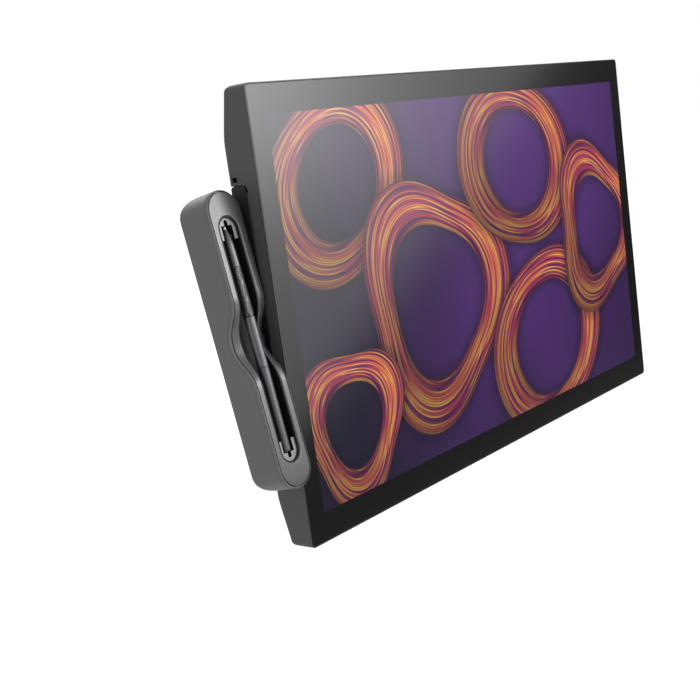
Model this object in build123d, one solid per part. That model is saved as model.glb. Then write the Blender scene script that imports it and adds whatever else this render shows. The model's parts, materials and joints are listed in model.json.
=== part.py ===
from build123d import *
import math
import os

# A drawing display of the 24 inch class with a tilting pen tray on its left side and a pen in the tray.
# X runs to the right as the user sees the screen, the screen faces -Y and Z is up.
# The origin is the centre of the stand's bolt pattern, in the plane of the rear face.
# All sizes are in millimetres.

# Whole display
panel_width = 527.0
panel_height = 296.4
side_bezel = 18.5
end_bezel = 22.8
depth = 29.5
corner_radius = 4.0
wall = 2.5
overrun = 5.0
touch_gap = 0.05
width = panel_width + 2 * side_bezel
height = panel_height + 2 * end_bezel
front = -depth

# Front frame and glass
glass_thickness = 1.1
glass_rim = 0.9
glass_gap = 0.1
frame_edge = 1.7
window_margin = 3.0
skirt_gap = 0.2
skirt_wall = 1.6
skirt_depth = 7.3
frame_post_radius = 3.0
frame_post_inset = 10.5
frame_post_columns = 5

# Display stack, from the glass to the rear
lcd_thickness = 1.6
lcd_margin = 2.0
guide_thickness = 2.5
guide_margin = 1.0
pan_thickness = 0.8
pan_lip_gap = 0.2
led_height = 2.0
led_thickness = 1.2
led_pitch = 12.0
led_length = 4.0
sensor_thickness = 0.8
shield_thickness = 1.0
shield_inset = 6.5

# Rear casing
taper_run = 45.0
taper_drop = 10.0
tail_radius = 5.6
inner_radius = 1.5
rear_side_round = 3.0
rear_edge_round = 1.0
edge_round_share = 0.8
grip_width = 32.0
grip_front = 12.0
grip_top_margin = 25.0
grip_margin = 1.0
grip_corner = 4.0
grip_inner_corner = 3.0
notch_length = 9.0
notch_height = 3.6
notch_rise = 4.4
notch_setback = 17.0
notch_depth = 0.9
notch_hole_length = 4.4
vent_width = 2.4
vent_length = 20.0
vent_pitch = 5.2
vent_count = 11
intake_count = 32
intake_length = 11.0
intake_drop = 12.0

# Casing screws, set on the shield plate's studs
casing_screw_radius = 1.5
casing_screw_head = 2.8
casing_screw_head_height = 1.8
casing_screw_sink = 2.2
casing_boss_radius = 4.4
casing_stud_height = 9.0
casing_screw_bite = 6.0
casing_screw_columns = 4
casing_screw_side = 102.0
casing_screw_end = 51.0

# Stand mount
bolt_spacing = 100.0
bolt_radius = 2.0
bolt_boss_radius = 5.0
bolt_depth = 8.0
bolt_plate_size = 130.0
bolt_plate_thickness = 2.0
bolt_plate_corner = 8.0
bolt_boss_gap = 0.1

# Port bay and ports
bay_width = 140.0
bay_height = 36.0
bay_depth = 17.0
bay_margin = 15.0
bay_corner = 4.0
port_pitch = 25.0
port_recess = 0.5
port_gap = 0.3
port_wall = 0.5
usb_width = 9.0
usb_height = 3.3
usb_length = 11.0
usb_corner = 1.4
video_width = 15.0
video_height = 5.4
video_length = 13.0
video_corner = 0.9
tongue_share = 0.25
inlet_size = 9.5
inlet_length = 14.0
inlet_bore = 3.0
inlet_pin = 0.9
inlet_bore_depth = 9.0

# Boards
board_thickness = 1.6
board_lift = 3.0
board_stud_radius = 2.6
board_screw_radius = 1.2
board_screw_head = 2.4
board_screw_head_height = 1.4
board_screw_bite = 2.2
board_hole_inset = 5.0
main_board_width = 150.0
board_side_margin = 52.0
board_top_gap = 18.0
board_bay_gap = 7.0
power_board_width = 140.0
chip_height = 2.0
chip_size = 30.0
chip_inset = 5.0
chip_rise = 9.0
memory_size = 12.0
memory_height = 1.2
memory_pitch = 18.0
memory_count = 4
capacitor_radius = 6.0
capacitor_height = 11.0
capacitor_pitch = 16.0
capacitor_count = 4
coil_block_width = 16.0
coil_block_pitch = 48.0
coil_block_height = 20.0
coil_block_depth = 11.5

# Cooling
spreader_width = 60.0
spreader_height = 50.0
spreader_thickness = 4.0
pipe_radius = 2.5
pipe_bend = 14.0
pipe_gap = 0.06
fin_count = 14
fin_pitch = 3.6
fin_thickness = 0.5
fin_height = 11.0
fin_depth = 12.5
fin_base = 1.0
fin_gap = 2.0
fan_size = 60.0
fan_depth = 11.0
fan_top_margin = 83.0
fan_duct_radius = 27.0
fan_base = 1.6
fan_hub_radius = 11.0
fan_strut = 5.0
fan_bore_radius = 1.54
fan_shaft_radius = 1.5
fan_rotor_hub = 9.5
fan_blade_radius = 25.5
fan_blade_count = 9
fan_blade_thickness = 0.9
fan_blade_depth = 6.5
fan_blade_angle = 32.0
fan_running_gap = 0.8
fan_rotor_depth = 7.5

# Power button and its switch
button_side_margin = 47.0
button_y = -17.2
button_length = 18.0
button_width = 4.4
button_proud = 0.6
button_gap = 0.1
button_flange = 1.1
button_flange_side = 0.4
button_flange_height = 1.0
button_travel = 0.8
switch_length = 10.0
switch_height = 6.0
switch_depth = 8.0
switch_shelf = 0.6
plunger_length = 4.0
plunger_width = 3.0

# Rear grips and shortcut keys
pad_thickness = 2.2
pad_gap = 0.2
pad_edge = 1.0
pad_corner = 3.0
key_length = 15.0
key_height = 8.0
key_corner = 2.0
key_proud = 0.8
key_gap = 0.12
key_flange = 1.4
key_flange_thickness = 0.6
key_ceiling = 0.65
key_inset = 17.0
key_place_shares = (-0.372, -0.239, 0.239, 0.372)
key_travel = 0.6
key_board_width = 12.0
key_board_margin = 7.0
key_board_thickness = 0.8
key_board_sink = 1.0
key_dome_radius = 2.5

# Pen tray
tray_end_margin = 19.1
tray_width = 32.2
tray_thickness = 30.9
tray_tilt = -9.84
tray_side_gap = 2.0
tray_pivot_depth = 21.4
tray_pivot_setback = 24.2
tray_pivot_rise = 1.2
tray_wall = 2.2
tray_rear_radius = 11.0
cover_thickness = 2.0
cover_inset = 1.0
cover_gap = 0.15
scoop_half = 33.5
scoop_depth = 13.2
scoop_angle = 34.2
channel_end_spare = 7.05
channel_width = 19.2
channel_chamfer = 0.6
liner_gap = 0.1
liner_wall = 0.9
liner_depth = 14.2
liner_floor = 1.6
liner_boss_radius = 3.2
liner_boss_shares = (-0.82, -0.35, 0.35, 0.82)
tray_screw_radius = 1.25
tray_screw_head = 2.4
tray_screw_head_height = 1.0
tray_screw_length = 8.0

# Pen cradles in the channel
cradle_drop = 2.4
cradle_gap = 0.1
cradle_arm = 15.6
pocket_width = 10.6
pocket_floor = 9.4
pocket_rise = 0.55
saddle_setback = 1.2
saddle_thickness = 2.4
keyhole_width = 3.4
keyhole_reach = 4.0

# Tray hinge on the casing
ear_inset = 1.0
ear_thickness = 3.0
ear_half = 8.0
ear_rear_gap = 0.6
ear_end_gap = 0.3
ear_corner = 2.4
ear_pad_gap = 0.2
foot_length = 26.0
foot_half = 15.0
foot_thickness = 3.0
foot_gap = 0.3
foot_screw_inset = 17.0
foot_screw_half = 9.0
foot_screw_radius = 1.5
foot_screw_head = 2.8
foot_screw_head_height = 1.8
pin_radius = 3.0
pin_running_gap = 0.05
pin_head_radius = 5.0
pin_head_height = 2.4
pin_tail = 0.8
washer_radius = 6.5
washer_count = 2
nut_size = 8.0
nut_thickness = 3.6
nut_gap = 0.05
tray_boss_radius = 5.4
tray_boss_height = 1.5

# Pen, with lengths from its tip
pen_length = 166.1
pen_axis_drop = 4.7
pen_seat_gap = 0.08
pen_end_gap = 0.4
nib_radius = 0.85
nib_exposed = 2.2
nib_bore_gap = 0.05
nib_travel = 0.5
nib_round_share = 0.9
cone_tip_radius = 1.35
cone_shoulder = 12.4
cone_shoulder_radius = 3.4
cone_end = 29.6
cone_end_radius = 3.8
cone_cavity_start = 13.4
cone_cavity_radius = 2.3
grip_end = 64.6
barrel_radius = 4.0
ring_length = 1.4
ring_groove = 0.2
seam_position = 103.3
tail_end_radius = 3.5
tail_round = 1.0
barrel_bore = 2.9
coil_start = 14.2
coil_end = 23.6
coil_bore_gap = 0.25
pen_sensor_start = 24.0
pen_board_end = 98.0
pen_board_half = 2.2
pen_board_thickness = 0.8
pen_button_angle = 35.0
pen_button_length = 8.6
pen_button_width = 2.6
pen_button_gap = 0.1
pen_button_proud = 0.3
pen_button_base = 1.95
pen_button_flange = 0.5
pen_button_flange_height = 0.45
pen_button_travel = 0.3
pen_button_places = (35.0, 47.3, 59.6)
pen_island_width = 4.8
pen_island_depth = 0.25
pen_island_margin = 2.2

# Levels worked out from the sizes above
plate_rear = front + frame_edge
lcd_front = front + glass_thickness
guide_front = lcd_front + lcd_thickness
pan_front = guide_front + guide_thickness
sensor_front = pan_front + pan_thickness
shield_front = sensor_front + sensor_thickness
shield_rear = shield_front + shield_thickness
board_front = shield_rear + board_lift
board_rear = board_front + board_thickness
grip_face = front + grip_front
taper_bend = height / 2 - taper_run
grip_low = grip_margin - taper_bend
grip_high = taper_bend - grip_top_margin
grip_length = grip_high - grip_low
grip_middle = (grip_low + grip_high) / 2
bay_top = bay_margin + bay_height - taper_bend
bay_middle_z = bay_top - bay_height / 2
main_board_middle = width / 2 - board_side_margin - main_board_width / 2
power_board_middle = power_board_width / 2 + board_side_margin - width / 2
bay_middle = main_board_middle
fan_x = main_board_middle - main_board_width / 2 + fan_size / 2
fan_z = height / 2 - fan_top_margin
board_top = fan_z - fan_size / 2 - board_top_gap
board_bottom = bay_top + board_bay_gap
chip_x = main_board_middle - chip_inset
chip_z = (board_top + board_bottom) / 2 + chip_rise
fin_low = fan_z - fan_size / 2 - fin_gap - fin_height
button_x = width / 2 - button_side_margin
key_roof = grip_face + pad_thickness - key_ceiling - touch_gap
key_board_face = grip_face - key_board_sink + key_board_thickness
key_dome_top = key_roof - key_flange_thickness - key_travel - touch_gap
pivot_y = front + tray_pivot_setback
pivot_z = grip_middle + tray_pivot_rise
side_x = -width / 2
tray_front = -tray_pivot_depth
tray_rear = tray_front + tray_thickness
tray_x = side_x - tray_side_gap - tray_width / 2
pocket_half = pen_length / 2 + pen_end_gap
pocket_low = pocket_rise - pocket_half
pocket_high = pocket_rise + pocket_half
channel_length = 2 * (pocket_half + channel_end_spare)
tray_length = channel_length + 2 * tray_end_margin
liner_bottom = tray_front + liner_depth + liner_floor
pen_y = tray_front + pen_axis_drop
nib_length = pen_sensor_start - nib_travel - touch_gap
pen_tip_z = pocket_low + pen_end_gap + pen_length


def front_plane(y):
    """A plane facing +Y, whose own x is up and whose own y is to the right."""
    return Plane(origin=(0, y, 0), x_dir=(0, 0, 1), z_dir=(0, 1, 0))


def side_plane(x):
    """A plane facing +X, whose own x is towards the rear and whose own y is up."""
    return Plane(origin=(x, 0, 0), x_dir=(0, 1, 0), z_dir=(1, 0, 0))


def block(x, y, z):
    """A box between two values on each axis."""
    sizes = [abs(high - low) for low, high in (x, y, z)]
    middles = [(low + high) / 2 for low, high in (x, y, z)]
    return Pos(*middles) * Box(*sizes)


def rod(radius, axis, span, at):
    """A cylinder along one axis; span is its two ends and at its place on the two other axes."""
    low, high = min(span), max(span)
    body = Cylinder(radius, high - low, align=(Align.CENTER, Align.CENTER, Align.MIN))
    if axis == "x":
        return Pos(low, at[0], at[1]) * Rot(0, 90, 0) * body
    if axis == "y":
        return Pos(at[0], low, at[1]) * Rot(-90, 0, 0) * body
    return Pos(at[0], at[1], low) * body


def plate(x_size, z_size, radius, y, at=(0, 0)):
    """A rounded plate in the XZ plane between two values of Y."""
    outline = Pos(at[1], at[0]) * RectangleRounded(z_size, x_size, radius)
    return extrude(front_plane(y[0]) * outline, amount=y[1] - y[0])


def slot_prism(length, breadth, y, at=(0, 0)):
    """An upright slot with round ends, between two values of Y."""
    outline = Pos(at[1], at[0]) * SlotOverall(length, breadth)
    return extrude(front_plane(y[0]) * outline, amount=y[1] - y[0])


def union(shapes):
    """All the shapes as one part."""
    shapes = list(shapes)
    return shapes[0].fuse(*shapes[1:]) if len(shapes) > 1 else shapes[0]


def group(shapes):
    """Separate solids kept side by side in one node."""
    return Compound(children=[solid for shape in shapes for solid in shape.solids()])


def spread(count, first, last):
    """Evenly spaced values from first to last."""
    return [first + (last - first) * step / (count - 1) for step in range(count)]


# Display stack


def cover_glass():
    margin = 2 * (glass_rim + glass_gap)
    return plate(width - margin, height - margin, corner_radius - glass_rim, (front, lcd_front))


def frame_post_places():
    """Where the frame's posts stand, round the display stack."""
    x_edge = width / 2 - frame_post_inset
    z_edge = height / 2 - frame_post_inset
    rows = [(x, side * z_edge) for x in spread(frame_post_columns, -x_edge, x_edge) for side in (-1, 1)]
    return rows + [(side * x_edge, 0) for side in (-1, 1)]


def front_frame():
    body = plate(width, height, corner_radius, (front, plate_rear))
    seat = 2 * glass_rim
    body -= plate(width - seat, height - seat, corner_radius - glass_rim, (front - overrun, lcd_front))
    window_x = panel_width + 2 * window_margin
    window_z = panel_height + 2 * window_margin
    body -= plate(window_x, window_z, inner_radius, (front - overrun, plate_rear + overrun))
    outer = 2 * (wall + skirt_gap)
    inner = outer + 2 * skirt_wall
    reach = (plate_rear, plate_rear + skirt_depth)
    skirt = plate(width - outer, height - outer, inner_radius, reach)
    skirt -= plate(width - inner, height - inner, inner_radius, (reach[0] - overrun, reach[1] + overrun))
    body += skirt
    post = (plate_rear, shield_front)
    body = union([body] + [rod(frame_post_radius, "y", post, at) for at in frame_post_places()])
    for at in frame_post_places():
        body -= rod(board_screw_radius, "y", (shield_front - board_screw_bite, shield_front), at)
    return body


def lcd_cell():
    margin = 2 * lcd_margin
    return plate(panel_width + margin, panel_height + margin, inner_radius, (lcd_front, guide_front))


def guide_box():
    """The light guide's low and high corners in X and Z."""
    half_x = panel_width / 2 + guide_margin
    half_z = panel_height / 2 + guide_margin
    return (-half_x, half_x), (-half_z + led_thickness, half_z)


def light_guide():
    x, z = guide_box()
    return block(x, (guide_front, pan_front), z)


def led_strip():
    x, z = guide_box()
    middle = (guide_front + pan_front) / 2
    low = z[0] - led_thickness
    strip = block(x, (middle - led_height / 2, pan_front), (low - pan_lip_gap, low + pan_lip_gap))
    count = int((x[1] - x[0]) / led_pitch)
    lamps = []
    for place in spread(count, x[0] + led_length, x[1] - led_length):
        span = (place - led_length / 2, place + led_length / 2)
        lamps.append(block(span, (middle - led_height / 2, middle + led_height / 2), (low, z[0])))
    return union([strip] + lamps)


def backlight_pan():
    x, z = guide_box()
    inner_x = x[1] + pan_lip_gap
    inner_low = z[0] - led_thickness - pan_lip_gap
    inner_high = z[1] + pan_lip_gap
    top = guide_front + pan_lip_gap
    outer = block(
        (-inner_x - pan_thickness, inner_x + pan_thickness),
        (top, sensor_front),
        (inner_low - pan_thickness, inner_high + pan_thickness),
    )
    return outer - block((-inner_x, inner_x), (top - overrun, pan_front), (inner_low, inner_high))


def pen_sensor_board():
    half_x = panel_width / 2
    half_z = panel_height / 2
    return block((-half_x, half_x), (sensor_front, shield_front), (-half_z, half_z))


def casing_screw_places():
    """Where the casing's screws stand, in two rows."""
    reach = width / 2 - casing_screw_side
    row = height / 2 - casing_screw_end
    return [(x, side * row) for x in spread(casing_screw_columns, -reach, reach) for side in (-1, 1)]


def board_hole_places(middle, breadth):
    """The four corner holes of a board centred on a value of X."""
    half = breadth / 2 - board_hole_inset
    rows = (board_bottom + board_hole_inset, board_top - board_hole_inset)
    return [(middle + side * half, z) for side in (-1, 1) for z in rows]


def all_board_holes():
    return board_hole_places(main_board_middle, main_board_width) + board_hole_places(
        power_board_middle, power_board_width
    )


def shield_plate():
    inset = 2 * shield_inset
    body = plate(width - inset, height - inset, inner_radius, (shield_front, shield_rear))
    studs = [rod(board_stud_radius, "y", (shield_rear, board_front), at) for at in all_board_holes()]
    stud_top = shield_rear + casing_stud_height
    studs += [rod(casing_boss_radius, "y", (shield_rear, stud_top), at) for at in casing_screw_places()]
    body = union([body] + studs)
    for at in all_board_holes():
        body -= rod(board_screw_radius, "y", (board_front - board_screw_bite, board_front), at)
    for at in casing_screw_places():
        body -= rod(casing_screw_radius, "y", (stud_top - casing_screw_bite, stud_top), at)
    for at in frame_post_places():
        body -= rod(board_screw_radius, "y", (shield_front, shield_rear), at)
    return body


# Rear casing


def casing_form(inset):
    """The casing's outer form, or its hollow when the inset is one wall."""
    start = plate_rear - (overrun if inset else 0)
    edge = height / 2 - inset
    low = -taper_drop - inset
    points = [
        (start, -edge),
        (low, -edge),
        (-inset, -taper_bend),
        (-inset, taper_bend),
        (low, edge),
        (start, edge),
    ]
    face = make_face(side_plane(-width / 2) * Polyline(*points, close=True))
    corners = [v for v in face.vertices() if abs(v.Y - low) < touch_gap]
    face = fillet(corners, tail_radius - inset)
    body = extrude(face, amount=width)
    round_off = max(corner_radius - inset, inner_radius)
    body &= plate(width - 2 * inset, height - 2 * inset, round_off, (start - overrun, overrun))
    if not inset:
        body &= rounded_rear(start)
    for side in (-1, 1):
        body -= grip_space(side, inset)
    body -= bay_space(inset)
    return body


def rounded_rear(start):
    """A tall prism with its two rear corners rounded."""
    half = width / 2
    floor = Plane(origin=(0, 0, -height), x_dir=(1, 0, 0), z_dir=(0, 0, 1))
    face = make_face(floor * Polyline((-half, start), (half, start), (half, 0), (-half, 0), close=True))
    corners = [v for v in face.vertices() if abs(v.Y) < touch_gap]
    return extrude(fillet(corners, rear_side_round), amount=2 * height)


def recess_edges(body):
    """The edges of both grips and of the port bay in the rear face."""
    face = [f for f in body.faces().filter_by(Axis.Y) if abs(f.center().Y) < touch_gap][0]
    side_limit = width / 2 - rear_side_round
    inner = [e for e in face.edges() if abs(e.center().Z) < taper_bend - touch_gap]
    return [e for e in inner if abs(e.center().X) < side_limit]


def grip_space(side, grow):
    """The hand grip's space at one side, open to the side and to the rear."""
    inner = side * (width / 2 - grip_width - grow)
    outer = side * (width / 2 + overrun)
    face = grip_face - grow
    space = block(
        (min(inner, outer), max(inner, outer)), (face, overrun), (grip_low - grow, grip_high + grow)
    )
    front_edges = [e for e in space.edges().filter_by(Axis.X) if e.center().Y < face + touch_gap]
    space = fillet(front_edges, grip_corner)
    inner_edges = [e for e in space.edges().filter_by(Axis.Y) if abs(e.center().X - inner) < touch_gap]
    return fillet(inner_edges, grip_inner_corner)


def bay_space(grow):
    """The port bay's space in the rear face."""
    return plate(
        bay_width + 2 * grow,
        bay_height + 2 * grow,
        bay_corner,
        (-bay_depth - grow, overrun),
        (bay_middle, bay_middle_z),
    )


def vents():
    """The air slots: outlets behind each fan and a row of intakes low on the rear face."""
    cuts = []
    reach = vent_pitch * (vent_count - 1) / 2
    through = (-wall - overrun, overrun)
    for side in (-1, 1):
        for x in spread(vent_count, side * fan_x - reach, side * fan_x + reach):
            for row in (-1, 1):
                place = (x, fan_z + row * (vent_length + vent_width) / 2)
                cuts.append(slot_prism(vent_length, vent_width, through, place))
    reach = vent_pitch * (intake_count - 1) / 2
    z = -height / 2 + taper_run + intake_drop
    for x in spread(intake_count, -reach - vent_pitch, reach - vent_pitch):
        if x < bay_middle - bay_width / 2 - wall - vent_pitch:
            cuts.append(slot_prism(intake_length, vent_width, through, (x, z)))
    return cuts


def port_places():
    """Name, middle X and height of each port, along the bay's upper wall."""
    kinds = ("usb", "usb", "video", "video", "inlet")
    first = bay_middle - port_pitch * (len(kinds) - 1) / 2
    return [(kind, first + port_pitch * step) for step, kind in enumerate(kinds)]


def port_box(kind, grow):
    """A port's outline as a prism down through the bay's upper wall."""
    sizes = {
        "usb": (usb_width, usb_height, usb_corner),
        "video": (video_width, video_height, video_corner),
        "inlet": (inlet_size, inlet_size, video_corner),
    }
    return tuple(size + 2 * grow for size in sizes[kind][:2]) + (sizes[kind][2] + grow,)


def port_prism(kind, x, grow, z):
    breadth, tall, radius = port_box(kind, grow)
    middle = board_rear + port_box(kind, 0)[1] / 2
    outline = Pos(x, middle, min(z)) * RectangleRounded(breadth, tall, radius)
    return extrude(outline, amount=max(z) - min(z))


def key_centres(side):
    """The four shortcut keys' places on one grip."""
    x = side * (width / 2 - key_inset)
    return [(x, grip_middle + share * grip_length) for share in key_place_shares]


def key_board_spans():
    """Each key board's low and high edge in Z: one board to a pair of keys."""
    rows = sorted(z for _, z in key_centres(1))
    half = len(rows) // 2
    pairs = (rows[:half], rows[half:])
    return [(pair[0] - key_board_margin, pair[-1] + key_board_margin) for pair in pairs]


def foot_screw_places(side):
    x = side * (width / 2 - foot_screw_inset)
    return [(x, pivot_z + way * foot_screw_half) for way in (-1, 1)]


def side_notch(side):
    """The lock slot above the grip: a shallow step in front, and a hole through the wall behind it."""
    z = grip_high + notch_rise
    rise = (z - notch_height / 2, z + notch_height / 2)
    y = (front + notch_setback, front + notch_setback + notch_length)
    edge = side * width / 2
    shallow = block(sorted((edge - side * notch_depth, edge + side * overrun)), y, rise)
    hole = (y[1] - notch_hole_length, y[1])
    deep = block(sorted((edge - side * (wall + overrun), edge + side * overrun)), hole, rise)
    return shallow + deep


def rear_cover():
    body = casing_form(0)
    body = fillet(recess_edges(body), min(rear_edge_round, grip_margin * edge_round_share))
    body -= casing_form(wall)
    boss_foot = shield_rear + casing_stud_height
    for at in casing_screw_places():
        body += rod(casing_boss_radius, "y", (boss_foot, -wall), at)
    for at in casing_screw_places():
        body -= rod(casing_screw_radius, "y", (boss_foot - overrun, overrun), at)
        body -= rod(casing_screw_head, "y", (-casing_screw_sink, overrun), at)
    for x in (-1, 1):
        for z in (-1, 1):
            at = (x * bolt_spacing / 2, z * bolt_spacing / 2)
            body -= rod(bolt_boss_radius + bolt_boss_gap, "y", (-wall - overrun, overrun), at)
    for cut in vents():
        body -= cut
    for kind, x in port_places():
        body -= port_prism(kind, x, port_gap, (bay_top - touch_gap, bay_top + wall + touch_gap))
    for side in (-1, 1):
        body -= side_notch(side)
        for low, high in key_board_spans():
            x = side * (width / 2 - key_inset)
            half = key_board_width / 2 + pad_gap
            pocket = (grip_face - key_board_sink, grip_face + overrun)
            body -= block((x - half, x + half), pocket, (low - pad_gap, high + pad_gap))
        for at in foot_screw_places(side):
            body -= rod(foot_screw_radius, "y", (grip_face - wall - overrun, grip_face + touch_gap), at)
    top = height / 2
    hole = (button_length + 2 * button_gap, button_width + 2 * button_gap)
    outline = Pos(button_x, button_y, top - wall - overrun) * SlotOverall(*hole)
    return body - extrude(outline, amount=wall + 2 * overrun)


def casing_screws():
    screws = []
    for at in casing_screw_places():
        seat = -casing_screw_sink
        foot = shield_rear + casing_stud_height - casing_screw_bite
        shank = rod(casing_screw_radius, "y", (foot, seat), at)
        screws.append(shank + rod(casing_screw_head, "y", (seat, seat + casing_screw_head_height), at))
    return group(screws)


def mount_plate():
    rear = -wall
    body = plate(bolt_plate_size, bolt_plate_size, bolt_plate_corner, (rear - bolt_plate_thickness, rear))
    places = [(x * bolt_spacing / 2, z * bolt_spacing / 2) for x in (-1, 1) for z in (-1, 1)]
    body = union([body] + [rod(bolt_boss_radius, "y", (-bolt_depth, 0), at) for at in places])
    for at in places:
        body -= rod(bolt_radius, "y", (-bolt_depth - overrun, overrun), at)
    return body


# Electronics


def board(middle, breadth):
    body = block(
        (middle - breadth / 2, middle + breadth / 2),
        (board_front, board_rear),
        (board_bottom, board_top),
    )
    for at in board_hole_places(middle, breadth):
        body -= rod(board_screw_radius, "y", (board_front - overrun, board_rear + overrun), at)
    return body


def main_board():
    chips = [
        block(
            (chip_x - chip_size / 2, chip_x + chip_size / 2),
            (board_rear, board_rear + chip_height),
            (chip_z - chip_size / 2, chip_z + chip_size / 2),
        )
    ]
    reach = memory_pitch * (memory_count - 1) / 2
    x = chip_x + spreader_width / 2 + memory_size
    for z in spread(memory_count, chip_z - reach, chip_z + reach):
        chips.append(
            block(
                (x - memory_size / 2, x + memory_size / 2),
                (board_rear, board_rear + memory_height),
                (z - memory_size / 2, z + memory_size / 2),
            )
        )
    return union([board(main_board_middle, main_board_width)] + chips)


def power_board():
    pieces = [board(power_board_middle, power_board_width)]
    reach = capacitor_pitch * (capacitor_count - 1) / 2
    for x in spread(capacitor_count, power_board_middle - reach, power_board_middle + reach):
        top = (board_rear, board_rear + capacitor_height)
        pieces.append(rod(capacitor_radius, "y", top, (x, board_top - 2 * capacitor_pitch)))
    middle_z = board_bottom + 2 * coil_block_height
    for side in (-1, 1):
        x = power_board_middle + side * coil_block_pitch / 2
        span = (x - coil_block_width / 2, x + coil_block_width / 2)
        rise = (middle_z - coil_block_height / 2, middle_z + coil_block_height / 2)
        pieces.append(block(span, (board_rear, board_rear + coil_block_depth), rise))
    return union(pieces)


def board_screws():
    """Screws of the boards, and of the shield plate on the frame's posts."""
    screws = []
    for at in all_board_holes():
        head = (board_rear, board_rear + board_screw_head_height)
        shank = rod(board_screw_radius, "y", (board_front - board_screw_bite, board_rear), at)
        screws.append(shank + rod(board_screw_head, "y", head, at))
    for at in frame_post_places():
        head = (shield_rear, shield_rear + board_screw_head_height / 2)
        shank = rod(board_screw_radius, "y", (shield_front - board_screw_bite, shield_rear), at)
        screws.append(shank + rod(board_screw_head, "y", head, at))
    return group(screws)


def connector(kind, x, length):
    """A socket shell with its mouth facing down and a contact tongue inside."""
    mouth = bay_top + port_recess
    body = port_prism(kind, x, 0, (mouth, mouth + length))
    body -= port_prism(kind, x, -port_wall, (mouth - overrun, mouth + length - 2 * port_wall))
    breadth, tall, radius = port_box(kind, -port_wall)
    middle = board_rear + port_box(kind, 0)[1] / 2
    half_x = breadth / 2 * (1 - tongue_share)
    half_y = tall / 2 * tongue_share
    tongue = block(
        (x - half_x, x + half_x),
        (middle - half_y, middle + half_y),
        (mouth + port_wall, mouth + length - port_wall),
    )
    return body + tongue


def usb_ports():
    return group(connector("usb", x, usb_length) for kind, x in port_places() if kind == "usb")


def video_ports():
    return group(connector("video", x, video_length) for kind, x in port_places() if kind == "video")


def power_inlet():
    x = [place for kind, place in port_places() if kind == "inlet"][0]
    mouth = bay_top + port_recess
    middle = board_rear + inlet_size / 2
    body = port_prism("inlet", x, 0, (mouth, mouth + inlet_length))
    body -= rod(inlet_bore, "z", (mouth - overrun, mouth + inlet_bore_depth), (x, middle))
    return body + rod(inlet_pin, "z", (mouth + port_wall, mouth + inlet_length - port_wall), (x, middle))


def pipe_level():
    """The heat pipe's middle in Y, on the spreader's rear face."""
    return board_rear + chip_height + spreader_thickness


def fin_places():
    reach = fin_pitch * (fin_count - 1) / 2
    return spread(fin_count, fan_x - reach, fan_x + reach)


def pipe_path(extra):
    """The heat pipe's line: up from the spreader, then round into the fins."""
    low = chip_z - spreader_height / 2 + extra
    turn = fin_low + fin_height / 2
    end = fin_places()[0] - fin_pitch
    points = [(chip_x, pipe_level(), low), (chip_x, pipe_level(), turn), (end, pipe_level(), turn)]
    return FilletPolyline(*points, radius=pipe_bend)


def pipe_solid(radius, extra):
    path = pipe_path(extra)
    section = Plane(origin=path @ 0, z_dir=path % 0) * Circle(radius)
    return sweep(section, path=path)


def heat_pipe():
    return pipe_solid(pipe_radius, pipe_radius)


def heat_spreader():
    top = board_rear + chip_height
    body = block(
        (chip_x - spreader_width / 2, chip_x + spreader_width / 2),
        (top, top + spreader_thickness),
        (chip_z - spreader_height / 2, chip_z + spreader_height / 2),
    )
    return body - pipe_solid(pipe_radius + pipe_gap, -pipe_radius)


def cooling_fins():
    foot = shield_rear
    x = fin_places()
    base = block(
        (x[0] - fin_thickness, x[-1] + fin_thickness),
        (foot, foot + fin_base),
        (fin_low, fin_low + fin_height),
    )
    half = fin_thickness / 2
    reach = (foot, foot + fin_depth + pipe_radius)
    fins = [block((place - half, place + half), reach, (fin_low, fin_low + fin_height)) for place in x]
    return union([base] + fins) - pipe_solid(pipe_radius + pipe_gap, -pipe_radius)


def fan_housings():
    housings = []
    for side in (-1, 1):
        x = side * fan_x
        half = fan_size / 2
        y = (shield_rear, shield_rear + fan_depth)
        body = plate(fan_size, fan_size, bay_corner, y, (x, fan_z))
        body -= rod(fan_duct_radius, "y", (y[0] - overrun, y[1] + overrun), (x, fan_z))
        base = (y[0], y[0] + fan_base)
        body += rod(fan_hub_radius, "y", base, (x, fan_z))
        body += block((x - half, x + half), base, (fan_z - fan_strut / 2, fan_z + fan_strut / 2))
        body += block((x - fan_strut / 2, x + fan_strut / 2), base, (fan_z - half, fan_z + half))
        body -= rod(fan_bore_radius, "y", (y[0] - overrun, y[1] + overrun), (x, fan_z))
        housings.append(body)
    return group(housings)


def fan_rotor(side):
    x = side * fan_x
    low = shield_rear + fan_base + fan_running_gap
    y = (low, low + fan_rotor_depth)
    middle = low + fan_rotor_depth / 2
    pieces = [rod(fan_rotor_hub, "y", y, (x, fan_z))]
    pieces.append(rod(fan_shaft_radius, "y", (shield_rear + touch_gap, low + touch_gap), (x, fan_z)))
    half = fan_blade_thickness / 2
    root = fan_rotor_hub - fan_blade_thickness
    deep = fan_blade_depth / 2
    blade = block((root, fan_blade_radius + overrun), (-deep, deep), (-half, half))
    for step in range(fan_blade_count):
        turn = Pos(x, middle, fan_z) * Rot(0, 360 * step / fan_blade_count, 0)
        pieces.append(turn * Rot(fan_blade_angle, 0, 0) * blade)
    return union(pieces) & rod(fan_blade_radius, "y", (shield_rear, y[1] + overrun), (x, fan_z))


def power_button():
    top = height / 2
    foot = top - wall - button_flange_height
    cap = Pos(button_x, button_y, foot) * SlotOverall(button_length, button_width)
    body = extrude(cap, amount=wall + button_flange_height + button_proud)
    half_x = button_length / 2 + button_flange
    half_y = button_width / 2 + button_flange_side
    rise = (foot, top - wall - touch_gap)
    flange = block((button_x - half_x, button_x + half_x), (button_y - half_y, button_y + half_y), rise)
    return body + flange


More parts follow.
